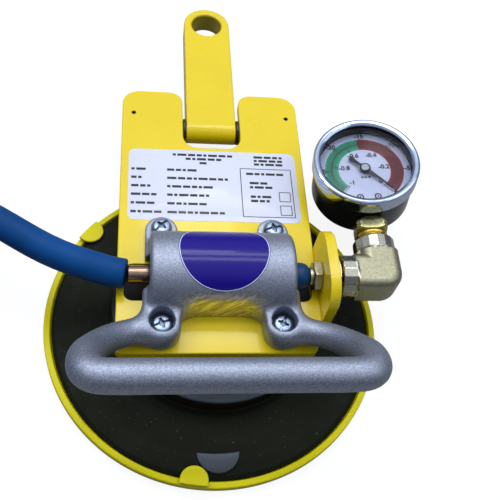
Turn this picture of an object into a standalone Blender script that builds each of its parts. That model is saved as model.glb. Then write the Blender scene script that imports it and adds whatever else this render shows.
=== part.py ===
"""Compressed-air vacuum lifter: flat cup, cast handle, hinged bail and vacuum gauge.

Metres, +Z up. The origin is the pad's centre on the surface that the pad cover stands on.
+X runs along the handle and its air line, towards the gauge; +Y runs towards the bail's eye.
"""
import math

import bmesh
import bpy
import numpy as np
from mathutils import Matrix, Vector

MM = 0.001
CLEAR = 0.3 * MM            # gap between solids that touch on the real object

# pad cover
COVER_BAND = 5.0 * MM
COVER_HEIGHT = 4.2 * MM
COVER_FLOOR = 1.6 * MM
COVER_LIP = 3.0 * MM
TAB_WIDTH = 12.5 * MM
TAB_REACH = 9.0 * MM
TAB_THICKNESS = 1.5 * MM
TAB_ANGLES = (21.4, 141.4, 261.4)

# rubber pad and its hub
PAD_RADIUS = 75.2 * MM
PAD_EDGE = 3.2 * MM
PAD_WEB = 3.6 * MM
PAD_RISE = 4.0 * MM
SEAL_RING_RADIUS = 45.1 * MM
SEAL_RING_WIDTH = 3.5 * MM
BOSS_MARGIN = 0.9 * MM
BOSS_TOP = 13.0 * MM
HUB_MARGIN = 7.8 * MM
HUB_THICKNESS = 8.7 * MM
PULL_TAB_WIDTH = 19.0 * MM
PULL_TAB_FACE = 64.7 * MM
PULL_TAB_DEPTH = 9.6 * MM
PULL_TAB_X = -0.8 * MM

# frame plate
PLATE_TOP = 31.0 * MM
PLATE_THICKNESS = 4.8 * MM
PLATE_HALF_WIDTH = 46.4 * MM
PLATE_FRONT = -29.2 * MM
PLATE_REAR = 123.1 * MM
PLATE_CORNER = 9.0 * MM
PLATE_STEP = 3.2 * MM
NOTCH_HALF_WIDTH = 15.0 * MM
NOTCH_BOTTOM = 85.5 * MM
NOTCH_CORNER = 7.5 * MM
NOTCH_MOUTH = 7.0 * MM
SLOT_HALF_LENGTH = 43.2 * MM
SLOT_HALF_WIDTH = 9.6 * MM
SLOT_CORNER = 4.0 * MM
RIVET_HOLE = 1.25 * MM
RIVET_X = 40.5 * MM
RIVET_Y = 107.5 * MM

# upright tab that carries the bulkhead fitting
UPRIGHT_HALF_WIDTH = 19.6 * MM
UPRIGHT_TOP = 54.5 * MM
UPRIGHT_CORNER = 12.0 * MM
BEND_RADIUS = 4.0 * MM

# air line
LINE_Y = 6.0 * MM
LINE_Z = 38.0 * MM
GENERATOR_RADIUS = 10.0 * MM
GENERATOR_HALF_LENGTH = 29.6 * MM
SEAL_SECTION = 0.9 * MM
SEAL_X = 21.0 * MM
INLET_RADIUS = 4.0 * MM
INLET_END = -41.4 * MM
SLEEVE_RADIUS = 6.2 * MM
PORT_RADIUS = 4.5 * MM

# bulkhead fitting, its nut, and the elbow
HEX_FLATS = 12.4 * MM
HEX_THICKNESS = 3.9 * MM
HEX_TURN = 49.7
COLLAR_LENGTH = 1.3 * MM
THREAD_RADIUS = 5.0 * MM
NUT_FLATS = 14.5 * MM
NUT_THICKNESS = 3.4 * MM
ELBOW_X = 74.3 * MM
ELBOW_BAND_RADIUS = 9.75 * MM
ELBOW_BAND_LENGTH = 6.8 * MM
ELBOW_BODY_HALF = 9.7 * MM
ELBOW_LEG = 18.3 * MM
ELBOW_CORNER = 9.0 * MM
ELBOW_EDGE = 2.2 * MM
STEM_THREAD_RADIUS = 6.5 * MM
STEM_ENGAGED = 7.0 * MM

# gauge
GAUGE_Y = 61.2 * MM
GAUGE_TILT = 7.5
GAUGE_RADIUS = 26.0 * MM
GAUGE_FRONT = 18.5 * MM
GAUGE_DEPTH = 27.0 * MM
BEZEL_WALL = 0.8 * MM
BEZEL_FACE = 3.6 * MM
BEZEL_LIP = 1.6 * MM
BEZEL_HEIGHT = 8.0 * MM
CASE_WALL = 1.6 * MM
LENS_THICKNESS = 2.0 * MM
DIAL_DEPTH = 8.6 * MM
DIAL_THICKNESS = 0.8 * MM
LEDGE = 1.2 * MM
STEM_SQUARE = 6.9 * MM
STEM_SQUARE_LENGTH = 6.6 * MM
STEM_NECK_RADIUS = 5.2 * MM
STEM_INSIDE = 11.0 * MM
MOVEMENT_HALF = 8.0 * MM
MOVEMENT_HEIGHT = 9.0 * MM
SPINDLE_RADIUS = 0.8 * MM
POINTER_LENGTH = 18.2 * MM
POINTER_TAIL = 9.6 * MM
POINTER_HUB = 2.7 * MM
POINTER_THICKNESS = 0.6 * MM
POINTER_LIFT = 1.4 * MM
POINTER_ZERO = -46.0

# handle casting
BODY_RADIUS = 19.5 * MM
BODY_HALF_LENGTH = 31.8 * MM
BODY_END_ROUND = 4.0 * MM
BODY_FLAT_Y = -11.6 * MM
SCREW_X = 26.4 * MM
SCREW_SPREAD = 25.0 * MM
EAR_RADIUS = 7.5 * MM
EAR_THICKNESS = 5.0 * MM
FRONT_BOSS_RADIUS = 8.3 * MM
FRONT_BOSS_HEIGHT = 11.0 * MM
COUNTERBORE_RADIUS = 5.6 * MM
GRIP_Y = -54.4 * MM
GRIP_Z = 68.0 * MM
GRIP_RADIUS = 6.8 * MM
ARM_HALF_WIDTH = 4.8 * MM
ARM_HALF_HEIGHT = 5.6 * MM
ARM_REACH_X = 55.6 * MM
ARM_STATION_STEP = 5.6 * MM
# stations of the arm's centre line, as shares of the way out, forwards and up from boss to grip
ARM_STATIONS = (
    (0.02, 0.04, 0.00), (0.28, 0.07, 0.02), (0.52, 0.14, 0.09), (0.74, 0.27, 0.23), (0.92, 0.47, 0.46),
    (1.00, 0.68, 0.73), (0.97, 0.88, 0.92), (0.83, 0.98, 0.99), (0.57, 1.00, 1.00), (0.12, 1.00, 1.00),
)

# handle screws and the spacers below the plate
SCREW_HEAD_RADIUS = 4.5 * MM
SCREW_HEAD_HEIGHT = 2.7 * MM
SCREW_SHANK_RADIUS = 2.4 * MM
SCREW_HOLE_RADIUS = 2.7 * MM
SCREW_GRIP_IN_HUB = 6.0 * MM
SPACER_RADIUS = 5.5 * MM

# bail and its pivot
BAIL_HALF_WIDTH = 13.0 * MM
BAIL_THICKNESS = 12.7 * MM
PIVOT_Y = 101.6 * MM
EYE_Y = 177.4 * MM
EYE_RADIUS = 8.25 * MM
EYE_EDGE = 0.8 * MM
PIN_RADIUS = 3.0 * MM
PIN_REACH = 12.5 * MM
LUG_HALF_DEPTH = 6.5 * MM
LUG_HEIGHT = 8.0 * MM
LUG_END = 1.5 * MM
GRUB_RADIUS = 2.0 * MM

# air hose
HOSE_RADIUS = 6.85 * MM
HOSE_POINT_STEP = 28.0 * MM
HOSE_LEAD = (
    (-42.4, 6.0, 38.0), (-49.0, 7.1, 38.0), (-58.5, 10.9, 37.9), (-67.5, 15.6, 37.6),
    (-77.5, 21.2, 36.8), (-88.0, 27.2, 35.3), (-99.0, 33.3, 33.0), (-113.0, 40.6, 29.4),
    (-128.0, 48.2, 25.4), (-143.0, 55.7, 22.4), (-158.0, 63.1, 21.1), (-171.0, 69.5, 21.0),
)
HOSE_TAIL = ((-152.0, -66.9, 8.2), (-138.5, -66.9, 8.2))
COIL_X = -202.3 * MM
COIL_Y = 23.6 * MM
COIL_INNER_TURN = 55.0 * MM
COIL_OUTER_TURN = 90.5 * MM
FERRULE_RADIUS = 7.9 * MM
FERRULE_LENGTH = 17.0 * MM
PLUG_LENGTH = 24.0 * MM
PLUG_FLATS = 13.5 * MM

# worked out from the sizes above
PLATE_BOTTOM = PLATE_TOP - PLATE_THICKNESS
HUB_BOTTOM = BOSS_TOP + CLEAR
HUB_TOP = HUB_BOTTOM + HUB_THICKNESS
PAD_BOTTOM = COVER_FLOOR + CLEAR
CASTING_BOTTOM = PLATE_TOP + CLEAR
EAR_TOP = CASTING_BOTTOM + EAR_THICKNESS
FRONT_BOSS_TOP = CASTING_BOTTOM + FRONT_BOSS_HEIGHT
SCREW_FRONT_Y = LINE_Y - SCREW_SPREAD
SCREW_REAR_Y = LINE_Y + SCREW_SPREAD
COVER_RADIUS = PAD_RADIUS + CLEAR + COVER_BAND
HUB_RADIUS = math.hypot(SCREW_X, SCREW_REAR_Y) + HUB_MARGIN
BOSS_RADIUS = HUB_RADIUS + BOSS_MARGIN
ARM_LOW = CASTING_BOTTOM + ARM_HALF_HEIGHT
UPRIGHT_INNER = PLATE_HALF_WIDTH
UPRIGHT_OUTER = PLATE_HALF_WIDTH + PLATE_THICKNESS
HEX_START = UPRIGHT_INNER - CLEAR - HEX_THICKNESS
SLEEVE_END = HEX_START - COLLAR_LENGTH - CLEAR
PIVOT_Z = PLATE_TOP - BAIL_THICKNESS / 2.0
NUT_START = UPRIGHT_OUTER + CLEAR
ELBOW_START = NUT_START + NUT_THICKNESS + CLEAR
ELBOW_END_Y = LINE_Y + ELBOW_LEG
CASE_RADIUS = GAUGE_RADIUS - BEZEL_WALL - CLEAR
PIN_HALF_LENGTH = NOTCH_HALF_WIDTH + PIN_REACH

FINISHES = {
    "yellow_coat": ((0.83, 0.66, 0.02), 0.35, 0.0),
    "yellow_plastic": ((0.86, 0.76, 0.03), 0.45, 0.0),
    "black_rubber": ((0.02, 0.022, 0.02), 0.7, 0.0),
    "grey_hub": ((0.10, 0.11, 0.11), 0.5, 0.0),
    "cast_aluminium": ((0.42, 0.44, 0.50), 0.42, 1.0),
    "zinc": ((0.62, 0.66, 0.72), 0.25, 1.0),
    "brass": ((0.62, 0.45, 0.16), 0.3, 1.0),
    "nickel": ((0.52, 0.50, 0.44), 0.35, 1.0),
    "blue_hose": ((0.02, 0.10, 0.36), 0.6, 0.0),
    "chrome": ((0.78, 0.80, 0.84), 0.08, 1.0),
    "black_case": ((0.02, 0.02, 0.022), 0.4, 0.0),
    "clear_lens": ((0.95, 0.96, 1.0), 0.05, 0.0),
    "white_dial": ((0.80, 0.80, 0.88), 0.5, 0.0),
    "black_paint": ((0.01, 0.01, 0.012), 0.4, 0.0),
    "steel": ((0.45, 0.46, 0.48), 0.3, 1.0),
    "nylon": ((0.03, 0.03, 0.03), 0.5, 0.0),
}


def material(name):
    """The finish's material, made once."""
    found = bpy.data.materials.get(name)
    if found:
        return found
    colour, roughness, metallic = FINISHES[name]
    made = bpy.data.materials.new(name)
    made.use_nodes = True
    shader = made.node_tree.nodes["Principled BSDF"]
    shader.inputs["Base Color"].default_value = (*colour, 1.0)
    shader.inputs["Roughness"].default_value = roughness
    shader.inputs["Metallic"].default_value = metallic
    return made


def add(name, vertices, faces, finish, placement=None):
    """A closed mesh as a scene object, faces outwards, round stretches shaded smooth."""
    mesh = bpy.data.meshes.new(name)
    mesh.from_pydata([tuple(v) for v in vertices], [], faces)
    if placement is not None:
        mesh.transform(placement)
    work = bmesh.new()
    work.from_mesh(mesh)
    bmesh.ops.recalc_face_normals(work, faces=work.faces)
    work.to_mesh(mesh)
    work.free()
    obj = bpy.data.objects.new(name, mesh)
    bpy.context.scene.collection.objects.link(obj)
    mesh.materials.append(material(finish))
    shade(obj)
    return obj


def shade(obj):
    """Smooth shading with the edges over 35 degrees kept sharp."""
    obj.data.shade_smooth()
    obj.data.set_sharp_from_angle(angle=math.radians(35.0))


def combine(obj, others, operation):
    """Join, cut or intersect with each of the others exactly, and drop them."""
    for other in others:
        step = obj.modifiers.new("combine", "BOOLEAN")
        step.solver = "EXACT"
        step.operation = operation
        step.object = other
        bpy.context.view_layer.update()
        graph = bpy.context.evaluated_depsgraph_get()
        result = bpy.data.meshes.new_from_object(obj.evaluated_get(graph))
        obj.modifiers.clear()
        old = obj.data
        obj.data = result
        bpy.data.meshes.remove(old)
        bpy.data.objects.remove(other)
    shade(obj)
    return obj


def facing(origin, axis, across=(1.0, 0.0, 0.0)):
    """Placement whose local Z is the axis and whose local X leans towards across."""
    z = Vector(axis).normalized()
    x = Vector(across)
    x = (x - z * x.dot(z)).normalized()
    y = z.cross(x)
    turn = Matrix((x, y, z)).transposed().to_4x4()
    return Matrix.Translation(Vector(origin)) @ turn


def lathe(name, profile, finish, placement, segments=48):
    """Turn a profile of (radius, height) points about local Z.

    A profile that starts and ends on the axis gives a solid; any other is closed into a ring.
    """
    vertices = []
    rings = []
    turns = np.linspace(0.0, 2.0 * math.pi, segments, endpoint=False)
    for radius, height in profile:
        if radius == 0.0:
            rings.append([len(vertices)] * segments)
            vertices.append((0.0, 0.0, height))
        else:
            start = len(vertices)
            rings.append(list(range(start, start + segments)))
            vertices += [(radius * math.cos(a), radius * math.sin(a), height) for a in turns]
    pairs = list(zip(rings[:-1], rings[1:]))
    if profile[0][0] != 0.0:
        pairs.append((rings[-1], rings[0]))
    faces = []
    for low, high in pairs:
        for i in range(segments):
            j = (i + 1) % segments
            corners = [low[i], low[j], high[j], high[i]]
            face = [c for k, c in enumerate(corners) if c not in corners[:k]]
            if len(face) > 2:
                faces.append(face)
    return add(name, vertices, faces, finish, placement)


def rod(name, radius, low, high, finish, placement, segments=32, edge=0.0):
    """A round bar along local Z, with its end edges chamfered."""
    if edge == 0.0:
        profile = [(0.0, low), (radius, low), (radius, high), (0.0, high)]
    else:
        profile = [(0.0, low), (radius - edge, low), (radius, low + edge),
                   (radius, high - edge), (radius - edge, high), (0.0, high)]
    return lathe(name, profile, finish, placement, segments)


def tube(name, inner, outer, low, high, finish, placement, segments=32):
    """A plain sleeve along local Z."""
    profile = [(inner, low), (outer, low), (outer, high), (inner, high)]
    return lathe(name, profile, finish, placement, segments)


def prism(name, outline, low, high, finish, placement=None, edge=0.0):
    """Extrude a flat outline along local Z, with both its rims chamfered by edge."""
    if edge == 0.0:
        layers = [(outline, low), (outline, high)]
    else:
        inset = shrink(outline, edge)
        layers = [(inset, low), (outline, low + edge), (outline, high - edge), (inset, high)]
    count = len(outline)
    vertices = [(x, y, z) for points, z in layers for x, y in points]
    faces = [list(range(count))[::-1]]
    for k in range(len(layers) - 1):
        base = k * count
        for i in range(count):
            j = (i + 1) % count
            faces.append([base + i, base + j, base + count + j, base + count + i])
    last = (len(layers) - 1) * count
    faces.append(list(range(last, last + count)))
    return add(name, vertices, faces, finish, placement)


def shrink(outline, distance):
    """Move each side of a counter-clockwise outline inwards by a distance."""
    points = np.array(outline)
    before = points - np.roll(points, 1, axis=0)
    after = np.roll(points, -1, axis=0) - points
    before /= np.linalg.norm(before, axis=1)[:, None]
    after /= np.linalg.norm(after, axis=1)[:, None]
    n1 = np.stack([-before[:, 1], before[:, 0]], axis=1)
    n2 = np.stack([-after[:, 1], after[:, 0]], axis=1)
    half = (n1 + n2) / (1.0 + np.sum(n1 * n2, axis=1))[:, None]
    return [tuple(p) for p in points + half * distance]


def arc(x, y, radius, start, end, steps=6):
    """Points on a circle from one angle to another, in degrees."""
    angles = np.radians(np.linspace(start, end, steps + 1))
    return [(x + radius * math.cos(a), y + radius * math.sin(a)) for a in angles]


def round_box(x0, x1, y0, y1, radius, steps=5):
    """Counter-clockwise outline of a rectangle with round corners."""
    return (arc(x1 - radius, y0 + radius, radius, -90.0, 0.0, steps)
            + arc(x1 - radius, y1 - radius, radius, 0.0, 90.0, steps)
            + arc(x0 + radius, y1 - radius, radius, 90.0, 180.0, steps)
            + arc(x0 + radius, y0 + radius, radius, 180.0, 270.0, steps))


def hexagon(flats, turn):
    """Outline of a hexagon of a given size across flats, first corner at an angle."""
    return arc(0.0, 0.0, flats / math.sqrt(3.0), turn, turn + 300.0, 5)


def smooth_route(points, step):
    """Evenly spaced points on a smooth curve through the given ones (Catmull-Rom)."""
    knots = np.array(points)
    ends = np.vstack([2.0 * knots[0] - knots[1], knots, 2.0 * knots[-1] - knots[-2]])
    fine = []
    for k in range(len(knots) - 1):
        a, b, c, d = ends[k:k + 4]
        for t in np.linspace(0.0, 1.0, 24, endpoint=False):
            fine.append(0.5 * (2.0 * b + (c - a) * t + (2.0 * a - 5.0 * b + 4.0 * c - d) * t ** 2
                               + (3.0 * b - a - 3.0 * c + d) * t ** 3))
    fine.append(knots[-1])
    fine = np.array(fine)
    walked = np.concatenate([[0.0], np.cumsum(np.linalg.norm(np.diff(fine, axis=0), axis=1))])
    marks = np.linspace(0.0, walked[-1], max(2, int(round(walked[-1] / step)) + 1))
    return np.stack([np.interp(marks, walked, fine[:, i]) for i in range(3)], axis=1)


def cord(name, points, radius, finish):
    """A round cord as a curve with filled ends."""
    curve = bpy.data.curves.new(name, "CURVE")
    curve.dimensions = "3D"
    curve.bevel_depth = radius
    curve.bevel_resolution = 3
    curve.use_fill_caps = True
    spline = curve.splines.new("POLY")
    spline.points.add(len(points) - 1)
    for target, point in zip(spline.points, points):
        target.co = (*point, 1.0)
    curve.materials.append(material(finish))
    obj = bpy.data.objects.new(name, curve)
    bpy.context.scene.collection.objects.link(obj)
    return obj


def sweep(name, centres, widths, heights, finish, sides=14):
    """A bar of oval section along a path, its height kept upright, with flat ends."""
    path = np.array(centres)
    along = np.gradient(path, axis=0)
    along /= np.linalg.norm(along, axis=1)[:, None]
    side = np.cross(along, np.array([0.0, 0.0, 1.0]))
    side /= np.linalg.norm(side, axis=1)[:, None]
    up = np.cross(side, along)
    turns = np.linspace(0.0, 2.0 * math.pi, sides, endpoint=False)
    vertices = []
    for i, centre in enumerate(path):
        for a in turns:
            offset = side[i] * widths[i] * math.cos(a) + up[i] * heights[i] * math.sin(a)
            vertices.append(tuple(centre + offset))
    faces = [list(range(sides))]
    for i in range(len(path) - 1):
        for k in range(sides):
            j = (k + 1) % sides
            base = i * sides
            faces.append([base + k, base + j, base + sides + j, base + sides + k])
    last = (len(path) - 1) * sides
    faces.append(list(range(last, last + sides)))
    return add(name, vertices, faces, finish)


UP = Matrix.Identity(4)
LINE = facing((0.0, LINE_Y, LINE_Z), (1.0, 0.0, 0.0), (0.0, 1.0, 0.0))
PIVOT = facing((0.0, PIVOT_Y, PIVOT_Z), (1.0, 0.0, 0.0), (0.0, 1.0, 0.0))
STEM = facing((ELBOW_X, 0.0, LINE_Z), (0.0, 1.0, 0.0), (1.0, 0.0, 0.0))


def gauge_frame():
    """Gauge placement: local Z is the dial's normal, tilted about the stem's axis."""
    tilt = Matrix.Rotation(math.radians(-GAUGE_TILT), 4, "Y")
    return Matrix.Translation((ELBOW_X, GAUGE_Y, LINE_Z)) @ tilt


def upright(point_x, point_y):
    """Placement of a vertical axis through a point."""
    return Matrix.Translation((point_x, point_y, 0.0))


SCREW_PLACES = {
    "front_left": (-SCREW_X, SCREW_FRONT_Y),
    "rear_left": (-SCREW_X, SCREW_REAR_Y),
    "front_right": (SCREW_X, SCREW_FRONT_Y),
    "rear_right": (SCREW_X, SCREW_REAR_Y),
}
SIDES = {"left": -1.0, "right": 1.0}


def build_pad_cover():
    """Shallow clip-on dish with three round tongues that fold in over the pad's rim."""
    inner = COVER_RADIUS - COVER_LIP
    round_off = 0.5 * MM
    profile = [(0.0, 0.0), (COVER_RADIUS - round_off, 0.0), (COVER_RADIUS, round_off),
               (COVER_RADIUS, COVER_HEIGHT - round_off), (COVER_RADIUS - round_off, COVER_HEIGHT),
               (inner, COVER_HEIGHT), (PAD_RADIUS + CLEAR, COVER_FLOOR), (0.0, COVER_FLOOR)]
    cover = lathe("pad_cover", profile, "yellow_plastic", UP, 50)
    under = PAD_BOTTOM + PAD_EDGE + CLEAR
    top = under + TAB_THICKNESS
    half = TAB_WIDTH / 2.0
    tip = COVER_RADIUS - TAB_REACH
    tongue = arc(tip + half, 0.0, half, 90.0, 270.0, 7)
    outer = COVER_RADIUS - round_off
    edge = math.sqrt(outer ** 2 - half ** 2)
    neck = half - round_off
    heel = edge - round_off
    for angle in TAB_ANGLES:
        turn = Matrix.Rotation(math.radians(angle), 4, "Z")
        blade_outline = [(edge, half)] + tongue + [(edge, -half), (outer, 0.0)]
        blade = prism("blade", blade_outline, under, top, "yellow_plastic", turn)
        root_outline = [(inner + round_off, -neck), (heel, -neck), (heel, neck), (inner + round_off, neck)]
        root = prism("root", root_outline, COVER_FLOOR, under + round_off, "yellow_plastic", turn)
        combine(cover, [root, blade], "UNION")
    return cover


def build_vacuum_pad():
    """Moulded rubber cup: thin lip, sealing rings underneath and a boss under the hub."""
    edge_top = PAD_BOTTOM + PAD_EDGE
    web_top = edge_top + PAD_RISE
    roof = web_top - PAD_WEB
    lip = 4.0 * MM
    ring_outer = SEAL_RING_RADIUS
    ring_width = SEAL_RING_WIDTH
    profile = [
        (0.0, roof), (ring_outer - ring_width - 0.5 * MM, roof),
        (ring_outer - ring_width, PAD_BOTTOM), (ring_outer, PAD_BOTTOM), (ring_outer + 0.5 * MM, roof),
        (PAD_RADIUS - lip - 2.0 * MM, PAD_BOTTOM + 1.6 * MM), (PAD_RADIUS - lip, PAD_BOTTOM),
        (PAD_RADIUS - 0.4 * MM, PAD_BOTTOM), (PAD_RADIUS, PAD_BOTTOM + 0.6 * MM),
        (PAD_RADIUS, edge_top - 0.6 * MM), (PAD_RADIUS - 0.6 * MM, edge_top),
        (PAD_RADIUS - 9.0 * MM, edge_top + 0.4 * MM), (BOSS_RADIUS + 3.0 * MM, web_top),
        (BOSS_RADIUS + 0.8 * MM, web_top + 0.9 * MM), (BOSS_RADIUS, web_top + 2.4 * MM),
        (BOSS_RADIUS, BOSS_TOP - 0.6 * MM), (BOSS_RADIUS - 0.6 * MM, BOSS_TOP), (0.0, BOSS_TOP),
    ]
    pad = lathe("vacuum_pad", profile, "black_rubber", UP, 44)
    turns = np.linspace(math.pi, 2.0 * math.pi, 11)
    half = PULL_TAB_WIDTH / 2.0
    grip_outline = [(PULL_TAB_X + half * math.cos(a), PULL_TAB_DEPTH * math.sin(a) - PULL_TAB_FACE)
                    for a in turns]
    grip = prism("pull_grip", grip_outline, edge_top - 0.8 * MM, edge_top + 1.1 * MM,
                 "black_rubber", None, 0.3 * MM)
    return combine(pad, [grip], "UNION")


def build_pad_hub():
    """Steel disc bonded on the rubber boss, tapped for the handle screws, with the vacuum port."""
    edge = 0.8 * MM
    profile = [(0.0, HUB_BOTTOM), (HUB_RADIUS - edge, HUB_BOTTOM), (HUB_RADIUS, HUB_BOTTOM + edge),
               (HUB_RADIUS, HUB_TOP - edge), (HUB_RADIUS - edge, HUB_TOP), (0.0, HUB_TOP)]
    hub = lathe("pad_hub", profile, "grey_hub", UP, 40)
    floor = HUB_TOP - SCREW_GRIP_IN_HUB - 1.0 * MM
    cutters = [rod("hole", SCREW_HOLE_RADIUS, floor, HUB_TOP + 1.0 * MM, "grey_hub", upright(x, y), 12)
               for x, y in SCREW_PLACES.values()]
    cutters.append(rod("port", PORT_RADIUS - 1.8 * MM, HUB_BOTTOM - 1.0 * MM, HUB_TOP + 1.0 * MM,
                       "grey_hub", upright(0.0, LINE_Y), 12))
    return combine(hub, cutters, "DIFFERENCE")


def build_hub_spacers():
    """Four sleeves that hold the frame plate off the hub, one round each handle screw."""
    for corner, (x, y) in SCREW_PLACES.items():
        tube("hub_spacer_" + corner, SCREW_HOLE_RADIUS, SPACER_RADIUS, HUB_TOP + CLEAR,
             PLATE_BOTTOM - CLEAR, "zinc", upright(x, y), 16)


def build_vacuum_port():
    """Nipple that takes the suction from the generator down to the hub."""
    top = LINE_Z - GENERATOR_RADIUS - CLEAR
    return tube("vacuum_port", PORT_RADIUS - 1.8 * MM, PORT_RADIUS, HUB_TOP + CLEAR, top, "brass",
                upright(0.0, LINE_Y), 16)


def plate_outline():
    """Plate seen from above: stepped right edge, round rear corners and the bail's notch."""
    w = PLATE_HALF_WIDTH
    low = 3.0 * MM
    n = NOTCH_HALF_WIDTH
    c = NOTCH_CORNER
    m = NOTCH_MOUTH
    step_y = LINE_Y - UPRIGHT_HALF_WIDTH - 1.0 * MM
    right = w - PLATE_STEP
    points = arc(right - low, PLATE_FRONT + low, low, -90.0, 0.0, 4)
    points += [(right, step_y), (w, step_y + 1.5 * MM)]
    points += arc(w - PLATE_CORNER, PLATE_REAR - PLATE_CORNER, PLATE_CORNER, 0.0, 90.0)
    points += arc(n + m, PLATE_REAR - m, m, 90.0, 180.0)
    points += arc(n - c, NOTCH_BOTTOM + c, c, 0.0, -90.0)
    points += arc(c - n, NOTCH_BOTTOM + c, c, -90.0, -180.0)
    points += arc(-n - m, PLATE_REAR - m, m, 0.0, 90.0)
    points += arc(PLATE_CORNER - w, PLATE_REAR - PLATE_CORNER, PLATE_CORNER, 90.0, 180.0)
    points += arc(low - w, PLATE_FRONT + low, low, 180.0, 270.0, 4)
    return points


def build_upright():
    """Tab bent up from the plate's right edge, with a round top and an outer bend."""
    low = LINE_Y - UPRIGHT_HALF_WIDTH
    high = LINE_Y + UPRIGHT_HALF_WIDTH
    r = UPRIGHT_CORNER
    outline = [(low, PLATE_BOTTOM), (high, PLATE_BOTTOM)]
    outline += arc(high - r, UPRIGHT_TOP - r, r, 0.0, 90.0, 8)
    outline += arc(low + r, UPRIGHT_TOP - r, r, 90.0, 180.0, 8)
    tab = prism("upright", outline, UPRIGHT_INNER - 2.0 * MM, UPRIGHT_OUTER, "yellow_coat",
                facing((0.0, 0.0, 0.0), (1.0, 0.0, 0.0), (0.0, 1.0, 0.0)), 0.4 * MM)
    away = 2.0 * UPRIGHT_TOP
    inside = prism("inside", [(-away, PLATE_TOP - 0.4 * MM), (away, PLATE_TOP - 0.4 * MM),
                              (away, away), (-away, away)], 0.0, UPRIGHT_INNER, "yellow_coat",
                   facing((0.0, 0.0, 0.0), (1.0, 0.0, 0.0), (0.0, 1.0, 0.0)))
    x = UPRIGHT_OUTER - BEND_RADIUS
    z = PLATE_BOTTOM + BEND_RADIUS
    corner = arc(x, z, BEND_RADIUS, -90.0, 0.0, 6)
    outside = [(UPRIGHT_OUTER + 2.0 * MM, PLATE_BOTTOM - 2.0 * MM)]
    waste_outline = [(x, PLATE_BOTTOM - 2.0 * MM)] + outside + [(UPRIGHT_OUTER + 2.0 * MM, z)]
    waste_outline += corner[::-1]
    waste = prism("waste", waste_outline, low - 1.0 * MM, high + 1.0 * MM, "yellow_coat",
                  facing((0.0, 0.0, 0.0), (0.0, -1.0, 0.0), (1.0, 0.0, 0.0))
                  @ Matrix.Translation((0.0, 0.0, -2.0 * LINE_Y)))
    return combine(tab, [inside, waste], "DIFFERENCE")


def build_frame_plate():
    """Laser-cut and bent plate that carries the handle, the bail and the gauge line."""
    plate = prism("frame_plate", plate_outline(), PLATE_BOTTOM, PLATE_TOP, "yellow_coat", None, 0.4 * MM)
    combine(plate, [build_upright()], "UNION")
    below = PLATE_BOTTOM - 2.0 * MM
    above = PLATE_TOP + 2.0 * MM
    slot = prism("slot", round_box(-SLOT_HALF_LENGTH, SLOT_HALF_LENGTH, LINE_Y - SLOT_HALF_WIDTH,
                                   LINE_Y + SLOT_HALF_WIDTH, SLOT_CORNER), below, above, "yellow_coat")
    cutters = [slot]
    cutters += [rod("hole", SCREW_HOLE_RADIUS, below, above, "yellow_coat", upright(x, y), 16)
                for x, y in SCREW_PLACES.values()]
    cutters += [rod("rivet", RIVET_HOLE, below, above, "yellow_coat", upright(x, RIVET_Y), 10)
                for x in (-RIVET_X, RIVET_X)]
    cutters.append(rod("fitting_hole", THREAD_RADIUS + CLEAR, UPRIGHT_INNER - 3.0 * MM,
                       UPRIGHT_OUTER + 2.0 * MM, "yellow_coat", LINE, 20))
    groove_end = PIN_HALF_LENGTH + CLEAR
    cutters.append(rod("groove", PIN_RADIUS + CLEAR, -groove_end, groove_end, "yellow_coat", PIVOT, 16))
    return combine(plate, cutters, "DIFFERENCE")


def build_pivot_lugs():
    """A bearing block for the pin on each side of the notch, and the grub screw that locks it."""
    top = PLATE_BOTTOM - CLEAR
    low = top - LUG_HEIGHT
    for side, sign in SIDES.items():
        x0, x1 = sorted((sign * NOTCH_HALF_WIDTH, sign * (PIN_HALF_LENGTH + LUG_END)))
        middle = upright((x0 + x1) / 2.0, PIVOT_Y)
        outline = round_box(x0, x1, PIVOT_Y - LUG_HALF_DEPTH, PIVOT_Y + LUG_HALF_DEPTH, 1.0 * MM, 2)
        block = prism("pivot_lug_" + side, outline, low, top, "yellow_coat")
        blind = sorted((0.0, sign * (PIN_HALF_LENGTH + CLEAR)))
        bore = rod("bore", PIN_RADIUS + CLEAR, blind[0], blind[1], "yellow_coat", PIVOT, 16)
        tapped = rod("tapped", GRUB_RADIUS + CLEAR, low - 1.0 * MM, PIVOT_Z, "yellow_coat", middle, 12)
        combine(block, [bore, tapped], "DIFFERENCE")
        rod("pin_grub_screw_" + side, GRUB_RADIUS, low, PIVOT_Z - PIN_RADIUS - CLEAR, "steel", middle, 12,
            0.3 * MM)


def build_pivot_pin():
    """Hinge pin of the bail."""
    return rod("pivot_pin", PIN_RADIUS, -PIN_HALF_LENGTH, PIN_HALF_LENGTH, "steel", PIVOT, 16, 0.4 * MM)


def build_pivot_washers():
    """Nylon washers that take up the play between the bail and the notch."""
    for side, sign in SIDES.items():
        ends = sorted((sign * (BAIL_HALF_WIDTH + CLEAR), sign * (NOTCH_HALF_WIDTH - CLEAR)))
        tube("pivot_washer_" + side, PIN_RADIUS + CLEAR, BAIL_THICKNESS / 2.0, ends[0], ends[1], "nylon",
             PIVOT, 16)


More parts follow.
